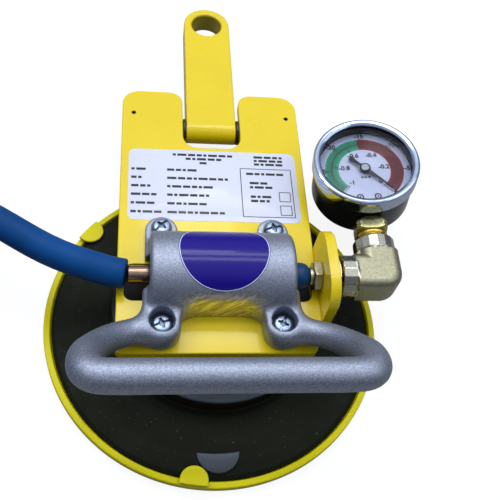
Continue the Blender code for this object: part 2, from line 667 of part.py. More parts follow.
def build_lift_bail():
    """Thick bar with a round pivot end, a round head and the hoist eye; origin on the pivot."""
    w = BAIL_HALF_WIDTH
    t = BAIL_THICKNESS / 2.0
    reach = EYE_Y - PIVOT_Y
    head = arc(0.0, reach, w, 0.0, 180.0, 16)
    outline = [(w, -t)] + head + [(-w, -t)]
    bar = prism("lift_bail", outline, -t, t, "yellow_coat", None, 0.6 * MM)
    knuckle_side = arc(0.0, 0.0, t, 90.0, 270.0, 12)
    side_outline = [(y, z) for y, z in knuckle_side] + [(reach + 2.0 * w, -t), (reach + 2.0 * w, t)]
    side = prism("side", side_outline, -2.0 * w, 2.0 * w, "yellow_coat",
                 facing((0.0, 0.0, 0.0), (1.0, 0.0, 0.0), (0.0, 1.0, 0.0)))
    combine(bar, [side], "INTERSECT")
    eye_profile = [(0.0, -2.0 * t), (EYE_RADIUS + EYE_EDGE + t, -2.0 * t), (EYE_RADIUS, EYE_EDGE - t),
                   (EYE_RADIUS, t - EYE_EDGE), (EYE_RADIUS + EYE_EDGE + t, 2.0 * t), (0.0, 2.0 * t)]
    eye = lathe("eye", eye_profile, "yellow_coat", Matrix.Translation((0.0, reach, 0.0)), 24)
    bore = rod("bore", PIN_RADIUS + CLEAR, -2.0 * w, 2.0 * w, "yellow_coat",
               facing((0.0, 0.0, 0.0), (1.0, 0.0, 0.0), (0.0, 1.0, 0.0)), 16)
    combine(bar, [eye, bore], "DIFFERENCE")
    bar.location = (0.0, PIVOT_Y, PIVOT_Z)
    return bar


def body_section(radius):
    """Arch of the body's cross-section in the YZ plane, its foot on the plate."""
    foot = CASTING_BOTTOM
    turns = np.radians(np.linspace(0.0, 180.0, 21))
    points = [(LINE_Y + radius * math.cos(a), LINE_Z + radius * math.sin(a)) for a in turns]
    return [(LINE_Y + radius, foot)] + points + [(LINE_Y - radius, foot)]


def build_body():
    """Arched body of the casting, its end edges rounded."""
    inner_x = BODY_HALF_LENGTH - BODY_END_ROUND
    inner_radius = BODY_RADIUS - BODY_END_ROUND
    half = [(x, r) for x, r in arc(inner_x, inner_radius, BODY_END_ROUND, 0.0, 90.0, 4)]
    full = [(-x, r) for x, r in half] + [(x, r) for x, r in half[::-1]]
    sections = [body_section(r) for x, r in full]
    count = len(sections[0])
    vertices = [(x, y, z) for (x, r), section in zip(full, sections) for y, z in section]
    faces = [list(range(count))]
    for k in range(len(full) - 1):
        for i in range(count):
            j = (i + 1) % count
            base = k * count
            faces.append([base + i, base + j, base + count + j, base + count + i])
    last = (len(full) - 1) * count
    faces.append(list(range(last, last + count)))
    return add("handle_casting", vertices, faces, "cast_aluminium")


def arm_route():
    """Centre line from the middle of one front boss, round the grip, to the other boss."""
    half = [(SCREW_X + (ARM_REACH_X - SCREW_X) * out, SCREW_FRONT_Y + (GRIP_Y - SCREW_FRONT_Y) * forward,
             ARM_LOW + (GRIP_Z - ARM_LOW) * up) for out, forward, up in ARM_STATIONS]
    left = [(-x, y, z) for x, y, z in half]
    return half + [(0.0, GRIP_Y, GRIP_Z)] + left[::-1]


def build_grip():
    """Round grip and the two arms that sweep down to the front bosses, as one bent bar."""
    path = smooth_route(arm_route(), ARM_STATION_STEP)
    height_ratio = np.clip((path[:, 2] - ARM_LOW) / (GRIP_Z - ARM_LOW), 0.0, 1.0)
    ease = height_ratio ** 2 * (3.0 - 2.0 * height_ratio)
    widths = ARM_HALF_WIDTH + (GRIP_RADIUS - ARM_HALF_WIDTH) * ease
    heights = ARM_HALF_HEIGHT + (GRIP_RADIUS - ARM_HALF_HEIGHT) * ease
    return sweep("grip", path, widths, heights, "cast_aluminium")


def build_handle_casting():
    """Sand-cast body, ears, bosses, arms and grip in one piece, bored for the generator."""
    body = build_body()
    parts = []
    for x in (-SCREW_X, SCREW_X):
        ear = arc(x, SCREW_REAR_Y, EAR_RADIUS, 0.0, 180.0, 10)
        root_y = LINE_Y + BODY_RADIUS - 3.0 * MM
        ear_outline = ear + [(x - EAR_RADIUS, root_y), (x + EAR_RADIUS, root_y)]
        parts.append(prism("ear", ear_outline, CASTING_BOTTOM, EAR_TOP, "cast_aluminium", None, 0.5 * MM))
        boss = arc(x, SCREW_FRONT_Y, FRONT_BOSS_RADIUS, 180.0, 360.0, 12)
        boss_outline = boss + [(x + FRONT_BOSS_RADIUS, LINE_Y), (x - FRONT_BOSS_RADIUS, LINE_Y)]
        parts.append(prism("boss", boss_outline, CASTING_BOTTOM, FRONT_BOSS_TOP, "cast_aluminium", None,
                           1.6 * MM))
    parts.append(build_grip())
    combine(body, parts, "UNION")
    cutters = []
    inner = SCREW_X - FRONT_BOSS_RADIUS
    beyond = LINE_Y - 2.0 * BODY_RADIUS
    flat = [(-inner, beyond), (inner, beyond), (inner, BODY_FLAT_Y), (-inner, BODY_FLAT_Y)]
    cutters.append(prism("flat", flat, CASTING_BOTTOM - 2.0 * MM, LINE_Z + BODY_RADIUS, "cast_aluminium"))
    end = BODY_HALF_LENGTH + 5.0 * MM
    cutters.append(rod("bore", GENERATOR_RADIUS + CLEAR, -end, end, "cast_aluminium", LINE, 24))
    belly = GENERATOR_RADIUS + CLEAR
    cutters.append(prism("belly", [(-end, LINE_Y - belly), (end, LINE_Y - belly), (end, LINE_Y + belly),
                                   (-end, LINE_Y + belly)], CASTING_BOTTOM - 2.0 * MM, LINE_Z,
                         "cast_aluminium"))
    for x, y in SCREW_PLACES.values():
        cutters.append(rod("hole", SCREW_HOLE_RADIUS, CASTING_BOTTOM - 2.0 * MM, EAR_TOP + 2.0 * MM,
                           "cast_aluminium", upright(x, y), 14))
        if y < LINE_Y:
            cutters.append(rod("counterbore", COUNTERBORE_RADIUS, EAR_TOP, FRONT_BOSS_TOP + FRONT_BOSS_HEIGHT,
                               "cast_aluminium", upright(x, y), 20))
    return combine(body, cutters, "DIFFERENCE")


def build_handle_screws():
    """Slotted pan-head screws through the casting, the plate and a spacer into the hub."""
    seat = EAR_TOP + CLEAR
    top = seat + SCREW_HEAD_HEIGHT
    slot_half = 0.6 * MM
    low = HUB_TOP - SCREW_GRIP_IN_HUB
    for corner, (x, y) in SCREW_PLACES.items():
        profile = [(0.0, low), (SCREW_SHANK_RADIUS - 0.4 * MM, low),
                   (SCREW_SHANK_RADIUS, low + 0.5 * MM), (SCREW_SHANK_RADIUS, seat),
                   (SCREW_HEAD_RADIUS, seat), (SCREW_HEAD_RADIUS, seat + 1.1 * MM),
                   (SCREW_HEAD_RADIUS * 0.8, top - 0.4 * MM), (SCREW_HEAD_RADIUS * 0.45, top), (0.0, top)]
        screw = lathe("handle_screw_" + corner, profile, "zinc", upright(x, y), 12)
        reach = SCREW_HEAD_RADIUS + 1.0 * MM
        slot = prism("slot", [(-reach, -slot_half), (reach, -slot_half), (reach, slot_half),
                              (-reach, slot_half)], top - 1.1 * MM, top + 1.0 * MM, "zinc",
                     upright(x, y) @ Matrix.Rotation(math.radians(20.0), 4, "Z"))
        combine(screw, [slot], "DIFFERENCE")


def build_vacuum_generator():
    """Venturi cartridge in the casting's bore, with a groove for each seal."""
    r = GENERATOR_RADIUS
    h = GENERATOR_HALF_LENGTH
    groove = r - 1.4 * MM
    half = SEAL_SECTION + CLEAR
    profile = [(0.0, -h), (r - 1.0 * MM, -h), (r, -h + 1.0 * MM)]
    for centre in (-SEAL_X, SEAL_X):
        profile += [(r, centre - half), (groove, centre - half), (groove, centre + half),
                    (r, centre + half)]
    profile += [(r, h - 1.0 * MM), (r - 1.0 * MM, h), (0.0, h)]
    return lathe("vacuum_generator", profile, "brass", LINE, 18)


def build_generator_seals():
    """Two rubber rings in the cartridge's grooves."""
    low = GENERATOR_RADIUS - 1.4 * MM + CLEAR
    high = GENERATOR_RADIUS
    s = SEAL_SECTION
    for side, sign in SIDES.items():
        centre = sign * SEAL_X
        profile = [(low, centre), (low + 0.3 * s, centre - s), (high - 0.3 * s, centre - s),
                   (high, centre), (high - 0.3 * s, centre + s), (low + 0.3 * s, centre + s)]
        lathe("generator_seal_" + side, profile, "black_rubber", LINE, 14)


def build_inlet_tube():
    """Brass stub that the supply hose is pushed on."""
    return rod("inlet_tube", INLET_RADIUS, INLET_END, -GENERATOR_HALF_LENGTH - CLEAR, "brass", LINE, 16,
               0.4 * MM)


def build_vacuum_sleeve():
    """Short piece of hose from the generator to the bulkhead fitting."""
    r = SLEEVE_RADIUS
    start = GENERATOR_HALF_LENGTH + CLEAR
    profile = [(0.0, start), (r, start), (r, SLEEVE_END - 3.0 * MM), (r - 0.9 * MM, SLEEVE_END - 1.0 * MM),
               (r - 2.4 * MM, SLEEVE_END), (0.0, SLEEVE_END)]
    return lathe("vacuum_sleeve", profile, "blue_hose", LINE, 20)


def build_bulkhead_fitting():
    """Hexagon with a barb collar on one side and a threaded stub through the tab."""
    start = HEX_START
    fitting = prism("bulkhead_fitting", hexagon(HEX_FLATS, HEX_TURN), start, UPRIGHT_INNER - CLEAR, "brass",
                    LINE, 0.4 * MM)
    collar = rod("collar", SLEEVE_RADIUS - 2.0 * MM, SLEEVE_END + CLEAR, start + 0.5 * MM, "brass", LINE, 16)
    stub = rod("stub", THREAD_RADIUS, UPRIGHT_INNER - CLEAR - 0.5 * MM,
               ELBOW_START + ELBOW_BAND_LENGTH - 1.0 * MM, "brass", LINE, 20, 0.5 * MM)
    return combine(fitting, [collar, stub], "UNION")


def build_bulkhead_nut():
    """Lock nut between the tab and the elbow."""
    nut = prism("bulkhead_nut", hexagon(NUT_FLATS, 0.0), NUT_START, NUT_START + NUT_THICKNESS, "brass", LINE,
                0.5 * MM)
    hole = rod("hole", THREAD_RADIUS + CLEAR, NUT_START - 1.0 * MM, NUT_START + NUT_THICKNESS + 1.0 * MM,
               "brass", LINE, 20)
    return combine(nut, [hole], "DIFFERENCE")


def build_elbow_fitting():
    """Forged elbow: a round band on each leg and a blocky body with a round outer corner."""
    b = ELBOW_BODY_HALF
    x0 = ELBOW_START + ELBOW_BAND_LENGTH - 0.5 * MM
    y1 = ELBOW_END_Y - ELBOW_BAND_LENGTH + 0.5 * MM
    r = ELBOW_CORNER
    outline = [(x0, LINE_Y - b + 0.6 * MM)]
    outline += arc(ELBOW_X + b - r, LINE_Y - b + r, r, -90.0, 0.0, 6)
    outline += [(ELBOW_X + b, y1), (ELBOW_X - b + 0.6 * MM, y1), (ELBOW_X - b + 0.6 * MM, LINE_Y + b),
                (x0, LINE_Y + b)]
    elbow = prism("elbow_fitting", outline, LINE_Z - b, LINE_Z + b, "nickel", None, ELBOW_EDGE)
    band_x = rod("band", ELBOW_BAND_RADIUS, ELBOW_START, ELBOW_START + ELBOW_BAND_LENGTH, "nickel", LINE, 20,
                 0.5 * MM)
    band_y = rod("band", ELBOW_BAND_RADIUS, ELBOW_END_Y - ELBOW_BAND_LENGTH, ELBOW_END_Y, "nickel", STEM, 20,
                 0.5 * MM)
    combine(elbow, [band_x, band_y], "UNION")
    bore_x = rod("bore", THREAD_RADIUS + CLEAR, ELBOW_START - 1.0 * MM, ELBOW_START + ELBOW_BAND_LENGTH,
                 "nickel", LINE, 20)
    bore_y = rod("bore", STEM_THREAD_RADIUS + CLEAR, ELBOW_END_Y - STEM_ENGAGED - 1.0 * MM,
                 ELBOW_END_Y + 1.0 * MM, "nickel", STEM, 20)
    return combine(elbow, [bore_x, bore_y], "DIFFERENCE")


def build_gauge_stem():
    """Brass socket: thread in the elbow, square for the wrench, and the end inside the case."""
    place = gauge_frame()
    along = place @ facing((0.0, 0.0, 0.0), (0.0, 1.0, 0.0), (1.0, 0.0, 0.0))
    case_edge = -CASE_RADIUS
    square_end = case_edge - 0.2 * MM
    square_start = square_end - STEM_SQUARE_LENGTH
    s = STEM_SQUARE
    stem = prism("gauge_stem", round_box(-s, s, -s, s, 0.8 * MM, 2), square_start, square_end, "brass",
                 along, 0.6 * MM)
    thread = rod("thread", STEM_THREAD_RADIUS, ELBOW_END_Y - STEM_ENGAGED - GAUGE_Y,
                 square_start + 1.0 * MM, "brass", along, 20, 0.5 * MM)
    inside = rod("inside", STEM_NECK_RADIUS, square_end - 1.0 * MM, -STEM_INSIDE, "brass", along, 16)
    return combine(stem, [thread, inside], "UNION")


def build_gauge_case():
    """Black cup with a ledge for the dial and a hole for the stem."""
    r = CASE_RADIUS
    back = GAUGE_FRONT - GAUGE_DEPTH
    rim = GAUGE_FRONT - BEZEL_LIP - LENS_THICKNESS - 2.0 * CLEAR
    dial_seat = GAUGE_FRONT - DIAL_DEPTH - DIAL_THICKNESS - CLEAR
    inner = r - CASE_WALL
    fillet = 2.2 * MM
    corner = [(x, z) for x, z in arc(r - fillet, back + fillet, fillet, -90.0, 0.0, 3)]
    profile = [(0.0, back)] + corner + [
        (r, rim), (inner, rim), (inner, dial_seat), (inner - LEDGE, dial_seat),
        (inner - LEDGE, back + CASE_WALL), (0.0, back + CASE_WALL)]
    case = lathe("gauge_case", profile, "black_case", gauge_frame(), 34)
    along = gauge_frame() @ facing((0.0, 0.0, 0.0), (0.0, 1.0, 0.0), (1.0, 0.0, 0.0))
    hole = rod("hole", STEM_NECK_RADIUS + CLEAR, -CASE_RADIUS - 2.0 * MM, -STEM_INSIDE - 4.0 * MM,
               "black_case", along, 16)
    return combine(case, [hole], "DIFFERENCE")


def build_gauge_bezel():
    """Chromed ring crimped over the case, holding the lens."""
    r = GAUGE_RADIUS
    front = GAUGE_FRONT
    wall = r - BEZEL_WALL
    low = front - BEZEL_HEIGHT
    profile = [(wall, low), (r, low), (r, front - 1.4 * MM), (r - 0.5 * MM, front - 0.5 * MM),
               (r - 1.4 * MM, front), (r - BEZEL_FACE + 0.8 * MM, front - 0.5 * MM),
               (r - BEZEL_FACE, front - BEZEL_LIP + 0.2 * MM), (r - BEZEL_FACE, front - BEZEL_LIP),
               (wall, front - BEZEL_LIP)]
    return lathe("gauge_bezel", profile, "chrome", gauge_frame(), 34)


def build_gauge_lens():
    """Clear window between the bezel's lip and the case's rim."""
    top = GAUGE_FRONT - BEZEL_LIP - CLEAR
    return rod("gauge_lens", CASE_RADIUS, top - LENS_THICKNESS, top, "clear_lens", gauge_frame(), 34)


def build_gauge_dial():
    """Printed dial plate on the case's ledge, pierced for the pointer's spindle."""
    top = GAUGE_FRONT - DIAL_DEPTH
    outer = CASE_RADIUS - CASE_WALL - CLEAR
    return tube("gauge_dial", SPINDLE_RADIUS + CLEAR, outer, top - DIAL_THICKNESS, top, "white_dial",
                gauge_frame(), 34)


def movement_top():
    """Local height of the movement's top plate, just under the dial."""
    return GAUGE_FRONT - DIAL_DEPTH - DIAL_THICKNESS - 1.5 * MM


def build_gauge_movement():
    """Tube-and-sector movement as its outer block, carried on the stem's inner end."""
    top = movement_top()
    h = MOVEMENT_HALF
    block = prism("gauge_movement", round_box(-h, h, -STEM_INSIDE + CLEAR, h, 2.0 * MM, 3),
                  top - MOVEMENT_HEIGHT, top, "brass", gauge_frame(), 0.4 * MM)
    hole = rod("hole", SPINDLE_RADIUS + CLEAR, top - 4.0 * MM, top + 2.0 * MM, "brass", gauge_frame(), 16)
    return combine(block, [hole], "DIFFERENCE")


def build_gauge_pointer():
    """Pointer, counterweight, hub and spindle; origin on the spindle's axis, at zero."""
    base = POINTER_LIFT
    top = base + POINTER_THICKNESS
    outline = [(-POINTER_TAIL, -1.5 * MM), (-POINTER_TAIL + 1.0 * MM, -1.2 * MM),
               (-POINTER_TAIL * 0.62, -0.6 * MM), (0.0, -1.1 * MM), (POINTER_LENGTH * 0.6, -0.55 * MM),
               (POINTER_LENGTH, -0.1 * MM), (POINTER_LENGTH, 0.1 * MM), (POINTER_LENGTH * 0.6, 0.55 * MM),
               (0.0, 1.1 * MM), (-POINTER_TAIL * 0.62, 0.6 * MM), (-POINTER_TAIL + 1.0 * MM, 1.2 * MM),
               (-POINTER_TAIL, 1.5 * MM)]
    pointer = prism("gauge_pointer", outline, base, top, "black_paint")
    hub = rod("hub", POINTER_HUB, base - 0.3 * MM, top + 0.7 * MM, "black_paint", UP, 16, 0.2 * MM)
    depth = DIAL_THICKNESS + 1.5 * MM + 2.5 * MM
    spindle = rod("spindle", SPINDLE_RADIUS, -depth, base, "black_paint", UP, 8)
    combine(pointer, [hub, spindle], "UNION")
    turn = Matrix.Rotation(math.radians(POINTER_ZERO), 4, "Z")
    pointer.matrix_world = gauge_frame() @ Matrix.Translation((0.0, 0.0, GAUGE_FRONT - DIAL_DEPTH)) @ turn
    return pointer


def build_hose():
    """Supply hose: its lead to the coil, the coil's outer shape, and the tail to the plug."""
    lead = smooth_route([tuple(v * MM for v in p) for p in HOSE_LEAD], HOSE_POINT_STEP / 2.0)
    cord("air_hose", lead, HOSE_RADIUS, "blue_hose")
    tail = smooth_route([tuple(v * MM for v in p) for p in HOSE_TAIL], HOSE_POINT_STEP / 2.0)
    cord("hose_tail", tail, HOSE_RADIUS, "blue_hose")
    inner = COIL_INNER_TURN - HOSE_RADIUS
    outer = COIL_OUTER_TURN + HOSE_RADIUS
    height = 2.0 * HOSE_RADIUS
    soft = 0.55 * HOSE_RADIUS
    profile = [(inner, soft), (inner + soft, 0.0), (outer - soft, 0.0), (outer, soft),
               (outer, height - soft), (outer - soft, height), (inner + soft, height),
               (inner, height - soft)]
    lathe("hose_coil", profile, "blue_hose", Matrix.Translation((COIL_X, COIL_Y, 0.0)), 32)


def tail_end():
    """Placement at the hose's far end, local Z along the hose."""
    x, y, z = (v * MM for v in HOSE_TAIL[-1])
    return facing((x, y, z), (1.0, 0.0, 0.0), (0.0, 1.0, 0.0))


def build_hose_ferrule():
    """Crimped brass ferrule on the hose's far end."""
    r = FERRULE_RADIUS
    n = FERRULE_LENGTH
    profile = [(0.0, CLEAR), (r - 0.6 * MM, CLEAR), (r, 0.9 * MM), (r, 0.28 * n), (r - 0.6 * MM, 0.34 * n),
               (r - 0.6 * MM, 0.40 * n), (r, 0.46 * n), (r, 0.62 * n), (r - 0.6 * MM, 0.68 * n),
               (r - 0.6 * MM, 0.74 * n), (r, 0.80 * n), (r, n - 0.6 * MM), (r - 0.6 * MM, n), (0.0, n)]
    return lathe("hose_ferrule", profile, "brass", tail_end(), 14)


def build_hose_plug():
    """Quick-connect plug: hexagon, waist and grooved nose."""
    start = FERRULE_LENGTH + CLEAR
    plug = prism("hose_plug", hexagon(PLUG_FLATS, 0.0), start, start + 6.0 * MM, "steel", tail_end(),
                 0.5 * MM)
    nose_start = start + 5.5 * MM
    end = start + PLUG_LENGTH
    profile = [(0.0, nose_start), (4.4 * MM, nose_start), (4.4 * MM, nose_start + 4.0 * MM),
               (5.9 * MM, nose_start + 4.8 * MM), (5.9 * MM, nose_start + 6.4 * MM),
               (4.1 * MM, nose_start + 7.6 * MM), (4.1 * MM, nose_start + 10.4 * MM),
               (5.2 * MM, nose_start + 11.6 * MM), (5.2 * MM, end - 2.4 * MM), (4.0 * MM, end), (0.0, end)]
    nose = lathe("nose", profile, "steel", tail_end(), 14)
    return combine(plug, [nose], "UNION")


def main():
    for obj in list(bpy.data.objects):
        bpy.data.objects.remove(obj, do_unlink=True)
    build_pad_cover()
    build_vacuum_pad()
    build_pad_hub()
    build_hub_spacers()
    build_vacuum_port()
    build_frame_plate()
    build_pivot_lugs()
    build_pivot_pin()
    build_pivot_washers()
    build_lift_bail()
    build_handle_casting()
    build_handle_screws()
    build_vacuum_generator()
    build_generator_seals()
    build_inlet_tube()
    build_vacuum_sleeve()
    build_bulkhead_fitting()
    build_bulkhead_nut()
    build_elbow_fitting()
    build_gauge_stem()
    build_gauge_case()
    build_gauge_bezel()
    build_gauge_lens()
    build_gauge_dial()
    build_gauge_movement()
    build_gauge_pointer()
    build_hose()
    build_hose_ferrule()
    build_hose_plug()


main()
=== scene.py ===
import math

import bpy
import numpy as np
from mathutils import Matrix


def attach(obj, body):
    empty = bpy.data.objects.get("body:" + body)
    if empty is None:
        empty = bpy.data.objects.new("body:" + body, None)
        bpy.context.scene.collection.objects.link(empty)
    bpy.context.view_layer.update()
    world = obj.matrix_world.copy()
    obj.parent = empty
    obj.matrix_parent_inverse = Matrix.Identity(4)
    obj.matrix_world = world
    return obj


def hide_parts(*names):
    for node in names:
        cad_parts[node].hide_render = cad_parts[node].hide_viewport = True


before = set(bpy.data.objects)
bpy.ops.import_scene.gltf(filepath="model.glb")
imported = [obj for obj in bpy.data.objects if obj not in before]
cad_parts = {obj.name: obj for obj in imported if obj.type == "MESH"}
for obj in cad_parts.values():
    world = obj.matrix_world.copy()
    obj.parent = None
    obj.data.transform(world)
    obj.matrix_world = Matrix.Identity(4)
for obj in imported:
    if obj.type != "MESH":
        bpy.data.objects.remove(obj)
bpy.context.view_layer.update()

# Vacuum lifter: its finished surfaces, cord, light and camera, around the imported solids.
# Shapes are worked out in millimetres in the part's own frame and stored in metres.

MM = 0.001

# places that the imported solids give
LINE_Y = 6.0
LINE_Z = 38.0
PLATE_TOP = 31.0
GAUGE_X = 74.3
GAUGE_Y = 61.2
PIVOT_Y = 101.6
PIVOT_Z = 24.65
EYE_Y = 177.4
SCREW_X = 26.4                           # the four screws, left and right, front and rear
FRONT_Y = -19.0
REAR_Y = 31.0
SCREW_SEAT = 36.3                        # top of the rear ears, and floor of the front wells
CASTING_FOOT = 31.3

# seats of turned pieces: origin, the way of their x, and their axis
LINE = ((0.0, LINE_Y, LINE_Z), (0.0, 1.0, 0.0), (1.0, 0.0, 0.0))
TILT = math.radians(7.5)
TILTED = (math.cos(TILT), 0.0, math.sin(TILT))
GAUGE = ((GAUGE_X, GAUGE_Y, LINE_Z), TILTED, (-math.sin(TILT), 0.0, math.cos(TILT)))
STEM = ((GAUGE_X, GAUGE_Y, LINE_Z), TILTED, (0.0, 1.0, 0.0))


# ---- putting surfaces into the scene

def shown(name, data):
    """An object in the scene, at the origin."""
    made = bpy.data.objects.new(name, data)
    bpy.context.scene.collection.objects.link(made)
    return made


def aimed(name, data, across, up, back, spot):
    """An object in the scene whose x, y and z point along three directions, at a spot in metres."""
    made = shown(name, data)
    made.matrix_world = Matrix(np.vstack([np.column_stack([across, up, back, spot]), [0.0, 0.0, 0.0, 1.0]]).tolist())
    return made


def put(name, surface, finishes, body="lifter", stands_for=(), kinds=None, crease=32.0):
    """A surface (points in mm, rows of corner numbers) as a piece with outward faces that rides on a body."""
    points, rows = surface
    rows = [np.asarray(r) for r in rows if len(r)]
    volume = 0.0
    for r in rows:
        for k in range(1, r.shape[1] - 1):
            a, b, c = points[r[:, 0]], points[r[:, k]], points[r[:, k + 1]]
            volume += np.einsum("ij,ij->i", a, np.cross(b, c)).sum()
    if volume < 0.0:
        rows = [r[:, ::-1] for r in rows]
    sizes = np.concatenate([np.full(len(r), r.shape[1]) for r in rows])
    corners = np.concatenate([r.ravel() for r in rows])
    mesh = bpy.data.meshes.new(name)
    mesh.vertices.add(len(points))
    mesh.vertices.foreach_set("co", (points * MM).astype(np.float32).ravel())
    mesh.loops.add(len(corners))
    mesh.loops.foreach_set("vertex_index", corners.astype(np.int32))
    mesh.polygons.add(len(sizes))
    mesh.polygons.foreach_set("loop_start", (np.cumsum(sizes) - sizes).astype(np.int32))
    finishes = finishes if isinstance(finishes, (list, tuple)) else [finishes]
    for finish in finishes:
        mesh.materials.append(finish)
    if kinds is not None:
        mesh.polygons.foreach_set("material_index", np.asarray(kinds, dtype=np.int32))
    mesh.update(calc_edges=True)
    mesh.validate()
    mesh.shade_smooth()
    mesh.set_sharp_from_angle(angle=math.radians(crease))
    piece = shown(name, mesh)
    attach(piece, body)
    if stands_for:
        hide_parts(*stands_for)
    return piece


def seat(surface, place):
    """Turn a surface from its own frame to the part's: x goes along the second vector, z along the third."""
    points, rows = surface
    origin, across, axis = (np.array(v, dtype=float) for v in place)
    z = axis / np.linalg.norm(axis)
    x = across - z * (across @ z)
    x /= np.linalg.norm(x)
    return points @ np.array([x, np.cross(z, x), z]) + origin, rows


def moved(surface, x, y):
    """A surface slid across the part's floor."""
    points, rows = surface
    return points + np.array([x, y, 0.0]), rows


def joined(*surfaces):
    """Several surfaces as one."""
    starts = np.cumsum([0] + [len(surface[0]) for surface in surfaces])
    rows = [group + start for surface, start in zip(surfaces, starts) for group in surface[1]]
    return np.concatenate([surface[0] for surface in surfaces]), rows


def wrapped(rings, around):
    """Quads of a grid whose rows close on themselves."""
    i = np.arange(rings - 1)[:, None] * around
    j = np.arange(around)[None]
    k = (j + 1) % around
    return np.stack([i + j, i + k, i + around + k, i + around + j], axis=-1).reshape(-1, 4)


def fan(centre, start, around):
    """Triangles from a centre point to a ring."""
    j = np.arange(around)
    return np.stack([np.full(around, centre), start + j, start + (j + 1) % around], axis=-1)


def ringed(rings, around, first=None, last=None):
    """Rings of points joined by quads, with a fan round an end point where one is given; with neither, the
    last ring joins the first."""
    points = np.asarray(rings, dtype=float).reshape(-1, 3)
    end = len(points) - around
    rows = [wrapped(len(points) // around, around)]
    if first is not None:
        points = np.vstack([points, first])
        rows.append(fan(len(points) - 1, 0, around)[:, ::-1])
    if last is not None:
        points = np.vstack([points, last])
        rows.append(fan(len(points) - 1, end, around))
    if first is None and last is None:
        j = np.arange(around)
        k = (j + 1) % around
        rows.append(np.stack([end + j, end + k, k, j], axis=-1))
    return points, rows


# ---- shapes

def softened(corners, radii, steps=5):
    """Line with its corners curved: each is the blend (1-t)^2 before + 2t(1-t) corner + t^2 after."""
    corners = np.asarray(corners, dtype=float)
    count = len(corners)
    out = []
    t = np.linspace(0.0, 1.0, steps + 1)[:, None]
    for k in range(count):
        corner = corners[k]
        if not radii[k]:
            out.append(corner[None])
            continue
        back, ahead = corners[k - 1] - corner, corners[(k + 1) % count] - corner
        lb, la = np.linalg.norm(back), np.linalg.norm(ahead)
        half = 0.5 * math.acos(np.clip(back @ ahead / (lb * la), -1.0, 1.0))
        cut = min(radii[k] / math.tan(half), 0.48 * lb, 0.48 * la)
        start, end = corner + back / lb * cut, corner + ahead / la * cut
        out.append((1.0 - t) ** 2 * start + 2.0 * t * (1.0 - t) * corner + t ** 2 * end)
    return np.concatenate(out)


def turned(profile, segments=96, sides=0, flats=0.0, turn=0.0):
    """Profile of radius and height carried round z; with sides, the radius is the smaller of the profile's
    and half the flats over the cosine of the angle from the nearest flat's middle."""
    profile = np.asarray(profile, dtype=float)
    first, last = profile[0, 0] == 0.0, profile[-1, 0] == 0.0
    rings = profile[int(first):len(profile) - int(last)]
    angle = np.linspace(0.0, 2.0 * math.pi, segments, endpoint=False) + math.radians(turn)
    radius = np.repeat(rings[:, :1], segments, axis=1)
    if sides:
        wedge = 2.0 * math.pi / sides
        away = (angle - math.radians(turn)) % wedge - wedge / 2.0
        radius = np.minimum(radius, flats / 2.0 / np.cos(away))
    height = np.repeat(rings[:, 1:], segments, axis=1)
    points = np.stack([radius * np.cos(angle), radius * np.sin(angle), height], axis=-1)
    return ringed(points, segments, [0.0, 0.0, profile[0, 1]] if first else None,
                  [0.0, 0.0, profile[-1, 1]] if last else None)


def lathe(corners, radii, steps, segments, place=None):
    """Profile with its corners curved, turned, and seated in a place if one is given."""
    surface = turned(softened(corners, radii, steps), segments)
    return seat(surface, place) if place else surface


def pressed(outline, layers):
    """Stack of a closed outline: each layer is the outline moved inwards by its first number, at the height
    of its second, and the ends close in a fan round the outline's middle."""
    outline = np.asarray(outline, dtype=float)
    step = np.roll(outline, -1, axis=0) - np.roll(outline, 1, axis=0)
    step /= np.linalg.norm(step, axis=1)[:, None]
    x, y = outline[:, 0], outline[:, 1]
    area = 0.5 * np.sum(x * np.roll(y, -1) - y * np.roll(x, -1))
    inward = np.stack([-step[:, 1], step[:, 0]], axis=1) * np.sign(area)
    count = len(outline)
    levels = [np.column_stack([outline + inward * inset, np.full(count, height)]) for inset, height in layers]
    middle = outline.mean(axis=0)
    return ringed(levels, count, [*middle, layers[0][1]], [*middle, layers[-1][1]])


def edged(low, high, edge, steps=4):
    """Layers of a slab whose two rims are rounded: inset r(1 - sin a) at height r(1 - cos a) from each face."""
    a = np.linspace(0.0, math.pi / 2.0, steps + 1)
    rise = [(edge * (1.0 - math.sin(v)), low + edge * (1.0 - math.cos(v))) for v in a]
    return rise + [(inset, low + high - height) for inset, height in rise[::-1]]


def circle_part(x, y, radius, start, end, steps):
    """Points of an arc, in degrees."""
    a = np.radians(np.linspace(start, end, steps + 1))
    return np.column_stack([x + radius * np.cos(a), y + radius * np.sin(a)])


def round_box(x0, x1, y0, y1, radius, steps=6):
    """Rectangle with round corners, counter-clockwise."""
    return np.concatenate([circle_part(x1 - radius, y0 + radius, radius, -90, 0, steps),
                           circle_part(x1 - radius, y1 - radius, radius, 0, 90, steps),
                           circle_part(x0 + radius, y1 - radius, radius, 90, 180, steps),
                           circle_part(x0 + radius, y0 + radius, radius, 180, 270, steps)])


def route(points, step):
    """Evenly spaced points on the Catmull-Rom curve through the given ones."""
    knots = np.asarray(points, dtype=float)
    ends = np.vstack([2.0 * knots[0] - knots[1], knots, 2.0 * knots[-1] - knots[-2]])
    a, b, c, d = (ends[k:k + len(knots) - 1, None] for k in range(4))
    t = np.linspace(0.0, 1.0, 24, endpoint=False)[None, :, None]
    fine = 0.5 * (2.0 * b + (c - a) * t + (2.0 * a - 5.0 * b + 4.0 * c - d) * t ** 2
                  + (3.0 * b - a - 3.0 * c + d) * t ** 3)
    fine = np.vstack([fine.reshape(-1, 3), knots[-1]])
    walked = np.concatenate([[0.0], np.cumsum(np.linalg.norm(np.diff(fine, axis=0), axis=1))])
    marks = np.linspace(0.0, walked[-1], max(2, int(round(walked[-1] / step)) + 1))
    return np.stack([np.interp(marks, walked, fine[:, i]) for i in range(3)], axis=1)


